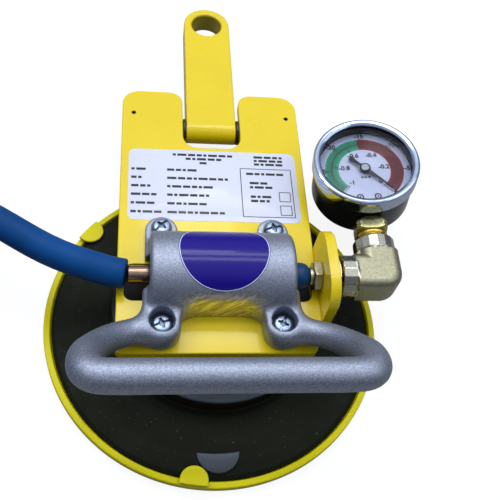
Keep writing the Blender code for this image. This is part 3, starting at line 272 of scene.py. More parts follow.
# ---- castings and forgings: solids given by the distance to their skin, less than nothing inside

def blend_min(a, b, width):
    """The smaller of two distances, with a fillet of about that width where they meet."""
    h = np.clip(0.5 + 0.5 * (b - a) / width, 0.0, 1.0)
    return b + (a - b) * h - width * h * (1.0 - h)


def blend_max(a, b, width):
    """The larger of two distances, with a rounded edge."""
    return -blend_min(-a, -b, width)


def rounded_slab(flat, height, radius):
    """Distance of a slab from the distances in its plane and across it, with a rounded rim."""
    u, v = flat + radius, height + radius
    return np.hypot(np.maximum(u, 0.0), np.maximum(v, 0.0)) + np.minimum(np.maximum(u, v), 0.0) - radius


def carved(field, low, high, step):
    """Skin of a distance field: in each grid cell that it crosses, one point at the mean of the crossings of
    the cell's edges, moved onto the skin along the field's slope; and one quad round each crossed edge.
    Blocks of four cells that lie far from the skin are filled with the distance at their middle."""
    low, high = np.array(low, dtype=float), np.array(high, dtype=float)
    blocks = np.ceil((high - low) / (4.0 * step)).astype(int) + 1
    middles = [low[i] + (np.arange(blocks[i]) * 4.0 + 1.5) * step for i in range(3)]
    centres = np.stack(np.meshgrid(*middles, indexing="ij"), axis=-1)
    value = field(centres.reshape(-1, 3)).reshape(blocks)
    for axis in range(3):
        value = np.repeat(value, 4, axis=axis)
    near = np.nonzero(np.abs(value) < 5.5 * step)
    value[near] = field(low + np.stack(near, axis=1) * step)
    size = np.array(value.shape)
    stride = np.array([size[1] * size[2], size[2], 1])
    flat = value.ravel()
    total = np.zeros((flat.size, 3), dtype=np.float32)
    count = np.zeros(flat.size, dtype=np.float32)
    edges = []
    for axis in range(3):
        u, v = (axis + 1) % 3, (axis + 2) % 3
        before = np.take(value, np.arange(size[axis] - 1), axis=axis)
        after = np.take(value, np.arange(1, size[axis]), axis=axis)
        found = np.stack(np.nonzero((before < 0.0) != (after < 0.0)), axis=1)
        cell = found @ stride
        a, b = flat[cell], flat[cell + stride[axis]]
        spot = found.astype(float)
        spot[:, axis] += a / (a - b)
        around = [cell - stride[u] - stride[v], cell - stride[v], cell, cell - stride[u]]
        for each in around:
            for i in range(3):
                total[:, i] += np.bincount(each, spot[:, i], flat.size).astype(np.float32)
            count += np.bincount(each, minlength=flat.size).astype(np.float32)
        quad = np.stack(around, axis=1)
        edges.append(np.where((a < 0.0)[:, None], quad, quad[:, ::-1]))
    used = np.nonzero(count)[0]
    number = np.zeros(flat.size, dtype=np.int64)
    number[used] = np.arange(len(used))
    points = low + total[used] / count[used, None] * step
    reach = 0.02
    for again in range(2):
        here = field(points)
        slope = np.stack([field(points + np.eye(3)[i] * reach) - here for i in range(3)], axis=1) / reach
        push = here / np.maximum(np.sum(slope ** 2, axis=1), 0.25)
        points = points - slope * np.clip(push, -step, step)[:, None]
    return points, [number[np.concatenate(edges)]]


def bar(points, path, tangent, half_width, half_height):
    """Distance from a bar along a path: from the nearest place on the path, found by sliding along its
    tangent, less a radius that goes from the half-width at its side to the half-height at its top."""
    stride = 25
    best = np.full(len(points), 1e9)
    where = np.zeros(len(points), dtype=np.int64)
    for k in range(0, len(path), stride):
        gap = np.einsum("ij,ij->i", points - path[k], points - path[k])
        closer = gap < best
        best[closer] = gap[closer]
        where[closer] = k
    for again in range(4):
        slide = np.einsum("ij,ij->i", points - path[where], tangent[where]) / ARM_STEP
        where = np.clip(where + np.round(slide).astype(np.int64), 0, len(path) - 1)
    gap = points - path[where]
    reach = np.linalg.norm(gap, axis=1)
    upright = np.array([0.0, 0.0, 1.0]) - tangent[where] * tangent[where][:, 2:]
    upright /= np.linalg.norm(upright, axis=1)[:, None]
    share = (np.einsum("ij,ij->i", gap, upright) / np.maximum(reach, 1e-6)) ** 2
    return reach - (half_width[where] * (1.0 - share) + half_height[where] * share)


# ---- finishes

def feed(tree, node, sockets):
    """Give sockets of a node, named or numbered, a value or a link each."""
    for key, value in sockets.items():
        if isinstance(value, bpy.types.NodeSocket):
            tree.links.new(value, node.inputs[key])
        else:
            node.inputs[key].default_value = value


def add_node(tree, kind, settings=None, **sockets):
    """A node with its settings and sockets: _0 stands for the first socket, and _ in a name for a blank."""
    made = tree.nodes.new(kind)
    for key, value in (settings or {}).items():
        setattr(made, key, value)
    feed(tree, made, {int(k[1:]) if k[1:].isdigit() else k.replace("_", " "): v for k, v in sockets.items()})
    return made


def worked(tree, operation, first, second):
    """What one sum makes of two values."""
    return add_node(tree, "ShaderNodeMath", {"operation": operation}, _0=first, _1=second).outputs[0]


def ramp(tree, value, *stops):
    """Colour by a value, from two stops of place and colour, and then any stops between them."""
    made = add_node(tree, "ShaderNodeValToRGB", Fac=value)
    elements = made.color_ramp.elements
    for element, (place, colour) in zip(elements, stops):
        element.position = place
        element.color = (*colour, 1.0)
    for place, colour in stops[2:]:
        elements.new(place).color = (*colour, 1.0)
    return made.outputs[0]


def seen_straight(tree):
    """One for what the camera sees by itself or through the window, else nothing."""
    path = add_node(tree, "ShaderNodeLightPath").outputs
    return worked(tree, "MAXIMUM", path["Is Camera Ray"], path["Is Transmission Ray"])


class Finish:
    """A node material: plain values go straight on the shader, and patterns read Object coordinates."""

    def __init__(self, name, colour, roughness, metallic=0.0, **sockets):
        self.made = bpy.data.materials.new(name)
        self.made.use_nodes = True
        self.tree = self.made.node_tree
        self.shader = self.tree.nodes["Principled BSDF"]
        self.set(Roughness=roughness, Metallic=metallic, **{"Base Color": (*colour, 1.0), **sockets})
        self.where = self.node("ShaderNodeTexCoord").outputs["Object"]
        self.height = None

    def set(self, **sockets):
        """Give sockets of the shader a value or a link each."""
        feed(self.tree, self.shader, sockets)

    def node(self, kind, settings=None, **sockets):
        """A node of this material."""
        return add_node(self.tree, kind, settings, **sockets)

    def axes(self):
        """The three Object coordinates, one by one."""
        return self.node("ShaderNodeSeparateXYZ", Vector=self.where).outputs

    def times(self, first, second):
        """Product of two values."""
        return worked(self.tree, "MULTIPLY", first, second)

    def noise(self, size, detail=3.0, stretch=(1.0, 1.0, 1.0)):
        """Noise with spots of about that size in millimetres."""
        drawn = self.node("ShaderNodeMapping", Vector=self.where, Scale=stretch).outputs[0]
        return self.node("ShaderNodeTexNoise", Vector=drawn, Scale=1000.0 / size, Detail=detail,
                         Roughness=0.55).outputs[0]

    def spread(self, value, low, high, start=0.0, end=1.0):
        """A value between start and end carried to low and high."""
        return self.node("ShaderNodeMapRange", _0=value, _1=start, _2=end, _3=low, _4=high).outputs[0]

    def tint(self, value, first, second, start=0.35, end=0.65):
        """Colour between two, by a value."""
        self.set(**{"Base Color": ramp(self.tree, value, (start, first), (end, second))})

    def rough(self, value, low, high, start=0.3, end=0.7):
        """Roughness between two values."""
        self.set(Roughness=self.spread(value, low, high, start, end))

    def bump(self, value, depth):
        """Raise the surface by a value, to a depth in millimetres, over what is already there."""
        bump = self.node("ShaderNodeBump", Height=value, Distance=depth * MM, Strength=1.0)
        if self.height is not None:
            feed(self.tree, bump, {"Normal": self.height})
        self.height = bump.outputs[0]
        self.set(Normal=self.height)


def coat(name, colour, roughness, orange_peel=0.014, mottle=0.04, **sockets):
    """Powder coat or gloss paint: fine orange peel, a faint drift of colour and gloss."""
    made = Finish(name, colour, roughness,
                  **{"Coat Weight": 0.25, "Coat Roughness": 0.08, "Specular IOR Level": 0.28, **sockets})
    darker = tuple(c * (1.0 - mottle) for c in colour)
    made.tint(made.noise(34.0), darker, colour)
    made.rough(made.noise(11.0), roughness * 0.85, roughness * 1.25)
    made.bump(made.noise(1.9, 2.0), orange_peel)
    made.bump(made.noise(0.35, 2.0), orange_peel * 0.12)
    return made.made


def blasted(name, colour, roughness, grain=0.35, depth=0.035):
    """Bead-blasted casting: sparkling grain in tone and height, and soft casting unevenness under it."""
    made = Finish(name, colour, roughness, 1.0)
    speckle = made.noise(grain * 1.6, 3.0)
    pale = tuple(min(1.0, c * 1.12) for c in colour)
    made.tint(speckle, tuple(c * 0.80 for c in colour), pale, 0.32, 0.70)
    made.rough(made.noise(grain * 1.3, 2.0), roughness * 0.80, roughness * 1.20)
    made.bump(made.noise(9.0, 2.0), 0.10)
    made.bump(made.noise(grain, 2.0), depth)
    return made.made


def machined(name, colour, roughness, axis=2, depth=0.012, spacing=0.22):
    """Turned or rolled metal: fine lines round or along an axis, and small stains."""
    made = Finish(name, colour, roughness, 1.0)
    stretch = [0.06, 0.06, 0.06]
    stretch[axis] = 1.0
    lines = made.noise(spacing, 2.0, tuple(stretch))
    darker = tuple(c * 0.88 for c in colour)
    made.tint(made.noise(2.6, 4.0), darker, colour, 0.3, 0.6)
    made.rough(made.noise(1.4, 3.0), roughness * 0.75, roughness * 1.35)
    made.bump(lines, depth)
    return made.made


def moulded(name, colour, roughness, grain=0.5, depth=0.03, mottle=0.12, **sockets):
    """Moulded plastic or rubber: matt grain, flow marks and a faint drift of colour."""
    made = Finish(name, colour, roughness, 0.0, **sockets)
    darker = tuple(c * (1.0 - mottle) for c in colour)
    made.tint(made.noise(18.0, 4.0), darker, colour)
    made.rough(made.noise(7.0, 3.0), roughness * 0.88, min(1.0, roughness * 1.12))
    made.bump(made.noise(grain, 2.0), depth)
    made.bump(made.noise(12.0, 2.0), 0.06)
    return made.made


def cup_rubber():
    """Black moulded rubber with a few pale specks of dust."""
    made = Finish("black_cup_rubber", (0.0085, 0.0105, 0.0050), 0.62, 0.0, **{"Specular IOR Level": 0.10})
    made.tint(made.noise(1.1, 1.0), (0.0085, 0.0105, 0.0050), (0.075, 0.085, 0.060), 0.735, 0.80)
    made.rough(made.noise(7.0), 0.55, 0.70)
    made.bump(made.noise(0.7, 2.0), 0.03)
    made.bump(made.noise(12.0, 2.0), 0.06)
    return made.made


def tab_rubber():
    """Grey of the pull tab, paler along its straight edge and darker towards its round tip, blended with noise."""
    made = Finish("grey_pull_tab", (0.06, 0.08, 0.11), 0.5)
    along = made.spread(made.axes()[1], 0.0, 1.0, -0.0745, -0.0645)
    edge_blend = made.times(along, made.spread(made.noise(1.6, 4.0), 0.55, 1.35))
    made.tint(edge_blend, (0.015, 0.020, 0.027), (0.052, 0.070, 0.102), 0.0, 1.0)
    made.bump(made.noise(0.8, 2.0), 0.04)
    return made.made


def hub_coat():
    """Coat of the hub: grey near its rim and on top, and painted shade, almost black with a brown tint, towards the
    middle under the casting and down its sides.
    """
    made = Finish("hub_coat_painted_shade", (0.06, 0.07, 0.08), 0.6, 0.0, **{"Specular IOR Level": 0.1})
    x, y, z = made.axes()
    flat = made.node("ShaderNodeCombineXYZ", X=x, Y=y).outputs[0]
    radius = made.node("ShaderNodeVectorMath", {"operation": "LENGTH"}, _0=flat).outputs["Value"]
    rim = made.spread(radius, 0.0, 1.0, 0.036, 0.0475)
    top = made.spread(z, 0.0, 1.0, 0.0205, 0.0217)
    # lit_share is 1 on the top near the rim and 0 where the hub is painted as in shade
    lit_share = made.times(made.times(rim, top), made.spread(made.noise(6.0), 0.75, 1.1))
    made.tint(lit_share, (0.012, 0.008, 0.003), (0.036, 0.045, 0.057), 0.0, 1.0)
    made.bump(made.noise(0.5, 2.0), 0.015)
    return made.made


def cast_finish():
    """Bead-blasted casting, and the dressed wall of its front opening: smoother, paler and brushed askew."""
    made = Finish("cast_aluminium", (0.36, 0.40, 0.49), 0.6, 1.0)
    x, y, z = made.axes()
    side = made.node("ShaderNodeMath", {"operation": "ABSOLUTE"}, _0=x).outputs[0]
    wall = made.spread(side, 1.0, 0.0, 0.013, 0.023)
    for value, start, end in ((y, -0.0150, -0.0118), (z, 0.0525, 0.0460)):
        wall = made.times(wall, made.spread(value, 0.0, 1.0, start, end))
    tones = [tuple(c * share for c in (0.325, 0.36, 0.445)) for share in (0.70, 1.22)]
    grain = ramp(made.tree, made.noise(0.62, 3.0), (0.34, tones[0]), (0.68, tones[1]))
    askew = made.node("ShaderNodeMapping", {"vector_type": "TEXTURE"}, Vector=made.where,
                      Rotation=(0.0, -0.75, 0.0), Scale=(10.0, 1.0, 1.0)).outputs[0]
    scratch = made.node("ShaderNodeTexNoise", Vector=askew, Scale=1100.0, Detail=3.0, Roughness=0.55).outputs[0]
    brushed = ramp(made.tree, scratch, (0.42, (0.38, 0.37, 0.33)), (0.64, (0.82, 0.80, 0.74)))
    both = made.node("ShaderNodeMix", {"data_type": "RGBA"}, _0=wall, _6=grain, _7=brushed)
    made.set(**{"Base Color": both.outputs[2]})
    made.rough(wall, 0.56, 0.36, 0.0, 1.0)
    made.bump(made.noise(9.0, 2.0), 0.10)
    made.bump(made.noise(0.40, 2.0), 0.035)
    return made.made


POWDER = coat("yellow_powder_coat", (0.785, 0.600, 0.003), 0.26, **{"Coat Weight": 0.35})
COVER = moulded("yellow_cover_plastic", (0.70, 0.63, 0.0015), 0.34, 0.6, 0.008, 0.05,
                **{"Specular IOR Level": 0.14})
# painted shade: a darker yellow for the wall inside the bail's eye
EYE_SHADE = coat("eye_wall_painted_shade", (0.34, 0.28, 0.006), 0.45)
RUBBER = cup_rubber()
TAB_RUBBER = tab_rubber()
HUB = hub_coat()
CAST = cast_finish()
ZINC = machined("bright_zinc", (0.30, 0.37, 0.47), 0.34, 2, 0.004, 0.3)
# painted shade: a darker zinc for the slots and cross recesses of the screw heads
RECESS_SHADE = machined("recess_shadow", (0.17, 0.22, 0.31), 0.5, 2, 0.004, 0.3)
BRASS = machined("bright_brass", (0.58, 0.42, 0.22), 0.24, 2, 0.006, 0.25)
INLET_BRASS = machined("inlet_brass", (0.31, 0.21, 0.14), 0.17, 2, 0.004, 0.3)
GOLD = machined("golden_beads", (0.74, 0.54, 0.10), 0.24, 2, 0.004, 0.3)
DULL_BRASS = machined("dull_hexagon", (0.50, 0.46, 0.31), 0.30, 2, 0.004, 0.3)
OLIVE = machined("stem_brass", (0.54, 0.51, 0.24), 0.30, 1, 0.006, 0.3)
FORGED = blasted("nickel_forging", (0.365, 0.355, 0.240), 0.46, 0.7, 0.016)
SATIN = blasted("satin_centre", (0.27, 0.29, 0.34), 0.5, 0.3, 0.01)
BANDS = machined("nickel_bands", (0.46, 0.45, 0.38), 0.26, 2, 0.004, 0.3)
CHROME = machined("chromed_bezel", (0.50, 0.59, 0.76), 0.11, 2, 0.001, 0.4)
ENAMEL = coat("gauge_enamel", (0.012, 0.012, 0.013), 0.18, 0.02)
HOSE = moulded("blue_hose", (0.003, 0.066, 0.245), 0.55, 0.45, 0.012, 0.25, **{"Specular IOR Level": 0.12})
SLEEVE = moulded("dark_blue_sleeve", (0.003, 0.050, 0.155), 0.42, 0.45, 0.012, 0.25, **{"Specular IOR Level": 0.25})
STEEL = machined("turned_steel", (0.50, 0.51, 0.53), 0.26)
NYLON = moulded("black_nylon", (0.012, 0.012, 0.013), 0.4)
POINTER = coat("pointer_black", (0.006, 0.006, 0.007), 0.35, 0.01)
PRINT_BLACK = coat("dial_ink", (0.012, 0.012, 0.016), 0.45, 0.01)
DIAL = coat("dial_white", (0.43, 0.475, 0.65), 0.5, 0.004, 0.02)
GREEN = coat("dial_green", (0.004, 0.24, 0.13), 0.5, 0.004)
RED = coat("dial_red", (0.15, 0.006, 0.014), 0.5, 0.004)
LABEL = coat("label_film", (0.65, 0.685, 0.80), 0.35, 0.004, 0.02)
VIOLET = coat("decal_violet", (0.010, 0.003, 0.22), 0.22, 0.004, 0.10, **{"Specular IOR Level": 0.12})


def window_glass():
    """Clear window: mostly see-through, with the gloss of its face by Fresnel."""
    made = Finish("clear_window", (0.9, 0.93, 1.0), 0.03, 1.0)
    made.set(Alpha=made.node("ShaderNodeFresnel", IOR=1.12).outputs[0])
    made.bump(made.node("ShaderNodeTexNoise", Vector=made.where, Scale=90.0).outputs[0], 0.02)
    return made.made


# ---- camera, floor and light

CAMERA_SPOT = (-37.26, -158.97, 326.29)
CAMERA_TURNS = (16.12, 57.18, 14.69)     # yaw, pitch down and roll, in degrees
CAMERA_LENS = 53.17
FLOOR_REACH = 6.0                        # metres
FLOOR_DROP = -0.0003                     # metres, just clear of the cover
FLOOR_GLOW = 0.87
FLOOR_MIRRORED = 0.21                    # share of the glow that shows in reflections
ROOM_LEAN = (-0.08, 0.30, 0.95)          # the brightest way
# share of the brightest way, and the light's colour: both ends, then the middle
ROOM_STOPS = ((0.0, (0.050, 0.055, 0.066)), (1.0, (1.15, 1.20, 1.36)), (0.45, (0.215, 0.240, 0.310)))
ROOM_STRENGTH = 0.97
LAMP_AIM = (0.0, 0.03, 0.03)
LAMPS = (                                # spot in metres, size, power
    ("back_tube", (-0.20, 0.52, 1.05), (1.5, 0.16), 3.9),
    ("front_tube", (-0.20, 0.24, 1.12), (1.5, 0.16), 3.7),
    ("fill", (0.75, -0.10, 0.85), (0.8, 0.8), 1.9),
    ("window", (0.07, 0.72, 1.10), (0.20, 0.13), 0.55),
)


def make_camera():
    """The photograph's view: place, yaw, pitch and roll, and the lens on a 36 mm sensor."""
    yaw, pitch, roll = (math.radians(v) for v in CAMERA_TURNS)
    forward = np.array([math.sin(yaw) * math.cos(pitch), math.cos(yaw) * math.cos(pitch), -math.sin(pitch)])
    right = np.array([math.cos(yaw), -math.sin(yaw), 0.0])
    up = np.cross(right, forward)
    data = bpy.data.cameras.new("camera")
    data.sensor_width = 36.0
    data.lens = CAMERA_LENS
    data.clip_start = 0.01
    bpy.context.scene.camera = aimed(
        "camera", data, right * math.cos(roll) + up * math.sin(roll), -right * math.sin(roll) + up * math.cos(roll),
        -forward, np.array(CAMERA_SPOT) * MM)


def make_floor():
    """Pale floor that keeps its shadow: white to the camera and through the window, and dim in reflections."""
    mesh = bpy.data.meshes.new("floor")
    corners = ((-1, -1), (1, -1), (1, 1), (-1, 1))
    mesh.from_pydata([(x * FLOOR_REACH, y * FLOOR_REACH, FLOOR_DROP) for x, y in corners], [], [(0, 1, 2, 3)])
    paper = Finish("floor_paper", (0.16, 0.16, 0.162), 0.9,
                   **{"Specular IOR Level": 0.0, "Emission Color": (1.0, 1.0, 1.0, 1.0)})
    glossy = paper.node("ShaderNodeLightPath").outputs["Is Glossy Ray"]
    either = worked(paper.tree, "MAXIMUM", seen_straight(paper.tree), paper.times(glossy, FLOOR_MIRRORED))
    paper.set(**{"Emission Strength": paper.times(either, FLOOR_GLOW)})
    mesh.materials.append(paper.made)
    floor = shown("floor", mesh)


def make_light():
    """Soft room light, slightly cool and brighter overhead, white to the camera; two long tubes above, a
    broad fill from the right and a small window lamp behind."""
    world = bpy.data.worlds.new("soft_room")
    bpy.context.scene.world = world
    world.use_nodes = True
    tree = world.node_tree
    way = add_node(tree, "ShaderNodeTexCoord").outputs["Generated"]
    lean = add_node(tree, "ShaderNodeVectorMath", {"operation": "DOT_PRODUCT"}, _0=way, _1=ROOM_LEAN)
    room = ramp(tree, lean.outputs["Value"], *ROOM_STOPS)
    either = add_node(tree, "ShaderNodeMix", {"data_type": "RGBA"}, _0=seen_straight(tree), _6=room,
                      _7=(1.0, 1.0, 1.0, 1.0))
    feed(tree, tree.nodes["Background"], {"Color": either.outputs[2], "Strength": ROOM_STRENGTH})
    for name, spot, size, power in LAMPS:
        light = bpy.data.lights.new(name, "AREA")
        light.shape = "RECTANGLE"
        light.size, light.size_y = size
        light.energy = power
        light.color = (0.97, 0.98, 1.0)
        toward = np.array(LAMP_AIM) - np.array(spot)
        back = -toward / np.linalg.norm(toward)
        side = np.array([1.0, 0.0, 0.0]) - back * back[0]
        side /= np.linalg.norm(side)
        aimed(name, light, side, np.cross(back, side), back, spot)
    bpy.context.scene.view_settings.view_transform = "Standard"


# ---- hose and its far end

HOSE_RADIUS = 6.85
HOSE_LEAD = (
    (-42.4, 6.0, 38.0), (-49.0, 7.2, 38.2), (-57.0, 9.3, 39.0), (-64.0, 11.1, 40.0), (-70.9, 13.3, 41.2),
    (-77.8, 16.1, 42.5), (-83.9, 19.1, 43.7), (-89.9, 22.4, 44.8), (-96.1, 25.9, 45.8), (-108.0, 33.0, 46.4),
    (-122.0, 42.0, 43.6), (-136.0, 50.8, 37.4), (-149.0, 58.4, 29.8), (-160.0, 64.3, 23.6), (-171.0, 69.5, 20.9),
)
COIL_MIDDLE = (-202.3, 23.6)
COIL_FIRST = 55.0
COIL_LAST = 90.5
COIL_START = math.radians(63.9)
COIL_END = math.radians(270.0 + 720.0)
COIL_DROP = math.radians(165.0)
COIL_TOP = 20.9
TAIL_Y = -66.9
TAIL_END = (-138.5, TAIL_Y, 8.2)


def hose_line():
    """Lead from the inlet, over the coil's outer turns and down on its first turn, then an even spiral
    outwards, whose radius grows in proportion to its angle, and a straight tail."""
    angle = np.arange(COIL_START, COIL_END, math.radians(14.0))
    radius = COIL_FIRST + (COIL_LAST - COIL_FIRST) * (angle - COIL_START) / (COIL_END - COIL_START)
    share = np.clip((angle - COIL_START) / COIL_DROP, 0.0, 1.0)
    ease = share * share * (3.0 - 2.0 * share)
    height = COIL_TOP - (COIL_TOP - HOSE_RADIUS) * ease
    x, y = COIL_MIDDLE
    coil = np.column_stack([x + radius * np.cos(angle), y + radius * np.sin(angle), height])
    tail = [(x, TAIL_Y, HOSE_RADIUS), (-188.0, TAIL_Y, HOSE_RADIUS), (-174.0, TAIL_Y, 6.9),
            (-162.0, TAIL_Y, 7.4), (-150.0, TAIL_Y, 8.1), TAIL_END]
    return np.vstack([HOSE_LEAD, coil, tail])


def build_hose(with_pieces):
    """Air hose as one curve with a round section, flat ends and a small chamfer where it starts."""
    points = route(hose_line(), 6.0)
    way = (points[1] - points[0]) / np.linalg.norm(points[1] - points[0])
    points = np.vstack([points[0], points[0] + way * 0.35, points[0] + way * 0.9, points[1:]])
    widths = np.ones(len(points), dtype=np.float32)
    widths[:2] = 0.90, 0.97
    curve = bpy.data.curves.new("supply_hose", "CURVE")
    curve.dimensions = "3D"
    curve.bevel_depth = HOSE_RADIUS * MM
    curve.bevel_resolution = 6
    curve.use_fill_caps = True
    spline = curve.splines.new("POLY")
    spline.points.add(len(points) - 1)
    spots = np.column_stack([points * MM, np.ones(len(points))])
    spline.points.foreach_set("co", spots.astype(np.float32).ravel())
    spline.points.foreach_set("radius", widths)
    spline.use_smooth = True
    curve.materials.append(HOSE)
    hose = shown("supply_hose", curve)
    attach(hose, "lifter")
    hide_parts("air_hose", "hose_coil", "hose_tail")


def build_hose_end():
    """Crimped ferrule with three rolled grooves, and the quick-connect plug: hexagon, waist and nose."""
    tail = (TAIL_END, (0.0, 1.0, 0.0), (1.0, 0.0, 0.0))
    long = 17.0
    corners = [(0.0, 0.3), (7.3, 0.3), (7.9, 0.9), (7.9, 4.2), (7.2, 4.8), (7.2, 6.2), (7.9, 6.8), (7.9, 10.0),
               (7.2, 10.6), (7.2, 12.0), (7.9, 12.6), (7.9, 16.4), (7.3, long), (0.0, long)]
    ferrule = put("crimped_ferrule", lathe(corners, [0] + [0.5] * 12 + [0], 4, 80, tail), BRASS,
                  stands_for=("hose_ferrule",))
    start = long + 0.3
    hexagon = turned([(0.0, start), (6.6, start)] + [(6.7 + 0.26 * k, start + 0.15 * k) for k in range(5)]
                     + [(7.9, start + 3.0), (7.9, start + 5.2)]
                     + [(7.74 - 0.26 * k, start + 5.4 + 0.15 * k) for k in range(5)] + [(0.0, start + 6.0)],
                     96, 6, 13.5)
    waist, end = start + 5.5, start + 24.0
    corners = [(0.0, waist), (4.4, waist), (4.4, waist + 4.0), (5.9, waist + 4.8), (5.9, waist + 6.4),
               (4.1, waist + 7.6), (4.1, waist + 10.4), (5.2, waist + 11.6), (5.2, end - 2.4), (4.0, end),
               (2.2, end), (2.2, end - 6.0), (0.0, end - 6.0)]
    nose = lathe(corners, [0, 0.3, 0.5, 0.4, 0.4, 0.5, 0.5, 0.4, 0.8, 0.4, 0.2, 0.2, 0], 4, 64)
    plug = put("quick_plug", seat(joined(hexagon, nose), tail), STEEL, stands_for=("hose_plug",))
    return [ferrule, plug]


# ---- pad, cover and hub

def build_cover():
    """Shallow dish with a flat lip and a steep inner wall, and three round tongues folded in."""
    rim, lip, floor = 80.3, 4.2, 1.6
    corners = [(0.0, 0.0), (rim, 0.0), (rim, lip), (77.5, lip), (77.2, 3.4), (77.0, floor), (0.0, floor)]
    surfaces = [lathe(corners, [0, 0.7, 0.9, 0.5, 0.5, 0.3, 0], 5, 288)]
    half, tip = 6.25, 71.5
    nose = circle_part(tip + half, 0.0, half, 90.0, 270.0, 28)
    outline = np.vstack([[(79.75, half), (78.9, half)], nose,
                         [(78.9, -half), (79.75, -half), (79.99, -3.1), (79.99, 3.1)]])
    blade = pressed(outline[::-1], edged(5.35, 6.9, 0.5, 4))
    root = pressed(round_box(77.9, 79.7, -5.7, 5.7, 0.4, 3), edged(1.7, 6.4, 0.3, 3))
    for angle in (21.4, 141.4, 261.4):
        turn = math.radians(angle)
        place = ((0.0, 0.0, 0.0), (math.cos(turn), math.sin(turn), 0.0), (0.0, 0.0, 1.0))
        surfaces += [seat(blade, place), seat(root, place)]
    put("cover_dish", joined(*surfaces), COVER, stands_for=("pad_cover",))


def build_pad():
    """Rubber cup: a thin lip out to the cover's wall, a dished web, a boss under the hub; and the pull tab,
    half an oval whose straight side is hollowed as 1 - t^2."""
    corners = [(0.0, 5.2), (41.1, 5.2), (41.6, 1.9), (45.1, 1.9), (45.6, 5.2), (69.2, 3.5), (71.2, 1.9), (76.3, 1.9),
               (76.7, 2.3), (76.7, 2.9), (75.0, 4.3), (70.0, 5.2), (66.2, 5.6), (53.0, 8.9),
               (50.4, 9.8), (49.4, 11.3), (49.4, 12.4), (48.8, 13.0), (0.0, 13.0)]
    radii = [0, 0.8, 0.5, 0.5, 0.8, 1.5, 0.6, 0.3, 0.3, 0.3, 1.5, 2.0, 6.0, 2.5, 1.2, 0.8, 0.4, 0.4, 0]
    put("rubber_cup", lathe(corners, radii, 5, 224), RUBBER, stands_for=("vacuum_pad",))
    x, y, half = -0.8, -64.9, 9.5
    a = np.radians(np.linspace(180.0, 360.0, 49))
    t = np.linspace(1.0, -1.0, 15)[1:-1]
    outline = np.vstack([np.column_stack([x + half * np.cos(a), y + 9.4 * np.sin(a)]),
                         np.column_stack([x + half * t, y - 0.75 * (1.0 - t ** 2)])])
    put("pull_tab", pressed(outline, edged(4.4, 6.35, 0.45, 4)), TAB_RUBBER)


def build_hub():
    """Hub disc with soft edges, and a shallow step near its rim."""
    corners = [(0.0, 13.3), (48.5, 13.3), (48.5, 22.0), (44.6, 22.0), (44.2, 21.7), (0.0, 21.7)]
    put("hub_disc", lathe(corners, [0, 0.7, 0.9, 0.2, 0.2, 0], 5, 200), HUB,
        stands_for=("pad_hub",))


# ---- bail

BAIL_HALF_WIDTH = 13.0
BAIL_HALF_THICK = 6.35
EYE_RADIUS = 8.25
PIN_BORE_RADIUS = 3.3


def bail_field(p):
    """Bar 26 x 12.7 mm: round head, half-round pivot end, a countersunk eye and the pin's bore."""
    x, y, z = np.abs(p[:, 0]), p[:, 1], p[:, 2] - PIVOT_Z
    flat = np.hypot(x, np.maximum(y - EYE_Y, 0.0)) - BAIL_HALF_WIDTH
    solid = rounded_slab(flat, np.abs(z) - BAIL_HALF_THICK, 0.9)
    knuckle = np.hypot(np.minimum(y - PIVOT_Y, 0.0), z) - BAIL_HALF_THICK
    solid = blend_max(solid, knuckle, 0.5)
    eye = EYE_RADIUS - np.hypot(x, y - EYE_Y)
    funnel = (eye + np.abs(z) - 5.2) / math.sqrt(2.0)
    solid = blend_max(solid, np.maximum(eye, funnel), 0.4)
    return np.maximum(solid, PIN_BORE_RADIUS - np.hypot(y - PIVOT_Y, z))


def build_bail():
    """The bail's skin, with painted shade in its eye: a darker yellow on the eye's wall."""
    points, rows = carved(bail_field, (-14.5, 93.5, 16.5), (14.5, 192.0, 32.5), 0.5)
    middle = points[rows[0]].mean(axis=1)
    eye = np.hypot(middle[:, 0], middle[:, 1] - EYE_Y) < EYE_RADIUS + 0.45
    put("hoist_bail", (points, rows), [POWDER, EYE_SHADE], body="bail",
        stands_for=("lift_bail",), kinds=eye.astype(int))


# ---- handle casting

BODY_RADIUS = 19.5
BODY_HALF_LENGTH = 31.8
BORE_RADIUS = 10.3
EAR_RADIUS = 7.5
BOSS_RADIUS = 8.3
BOSS_TOP = 42.3
WELL_RADIUS = 5.6
HOLE_RADIUS = 2.7
OPENING_HALF = 17.8
OPENING_BACK_Y = -11.6
OPENING_ROUND = 8.5
GRIP_Z = 68.0
ARM_ROUTE = (
    (26.98, -20.42, 36.9), (34.9, -21.48, 37.52), (42.3, -23.96, 39.7), (49.0, -28.56, 44.07), (54.3, -35.64, 51.2),
    (56.6, -43.07, 59.6), (55.7, -50.15, 65.51), (51.4, -53.69, 67.69), (43.04, -54.4, GRIP_Z),
    (29.9, -54.4, GRIP_Z), (10.0, -54.4, GRIP_Z), (0.0, -54.4, GRIP_Z),
)
ARM_STEP = 0.1


def arm_line():
    """Centre line of the right arm and half the grip in small steps, its tangents, and its half sizes, which
    ease from the boss's oval to the grip's circle as 3h^2 - 2h^3 of the height climbed."""
    path = route(ARM_ROUTE, ARM_STEP)
    tangent = np.gradient(path, axis=0)
    tangent /= np.linalg.norm(tangent, axis=1)[:, None]
    start = ARM_ROUTE[0][2]
    climb = np.clip((path[:, 2] - start) / (GRIP_Z - start), 0.0, 1.0)
    ease = climb ** 2 * (3.0 - 2.0 * climb)
    return path, tangent, 5.6 + 1.2 * ease, 6.1 + 0.52 * ease


ARM = arm_line()


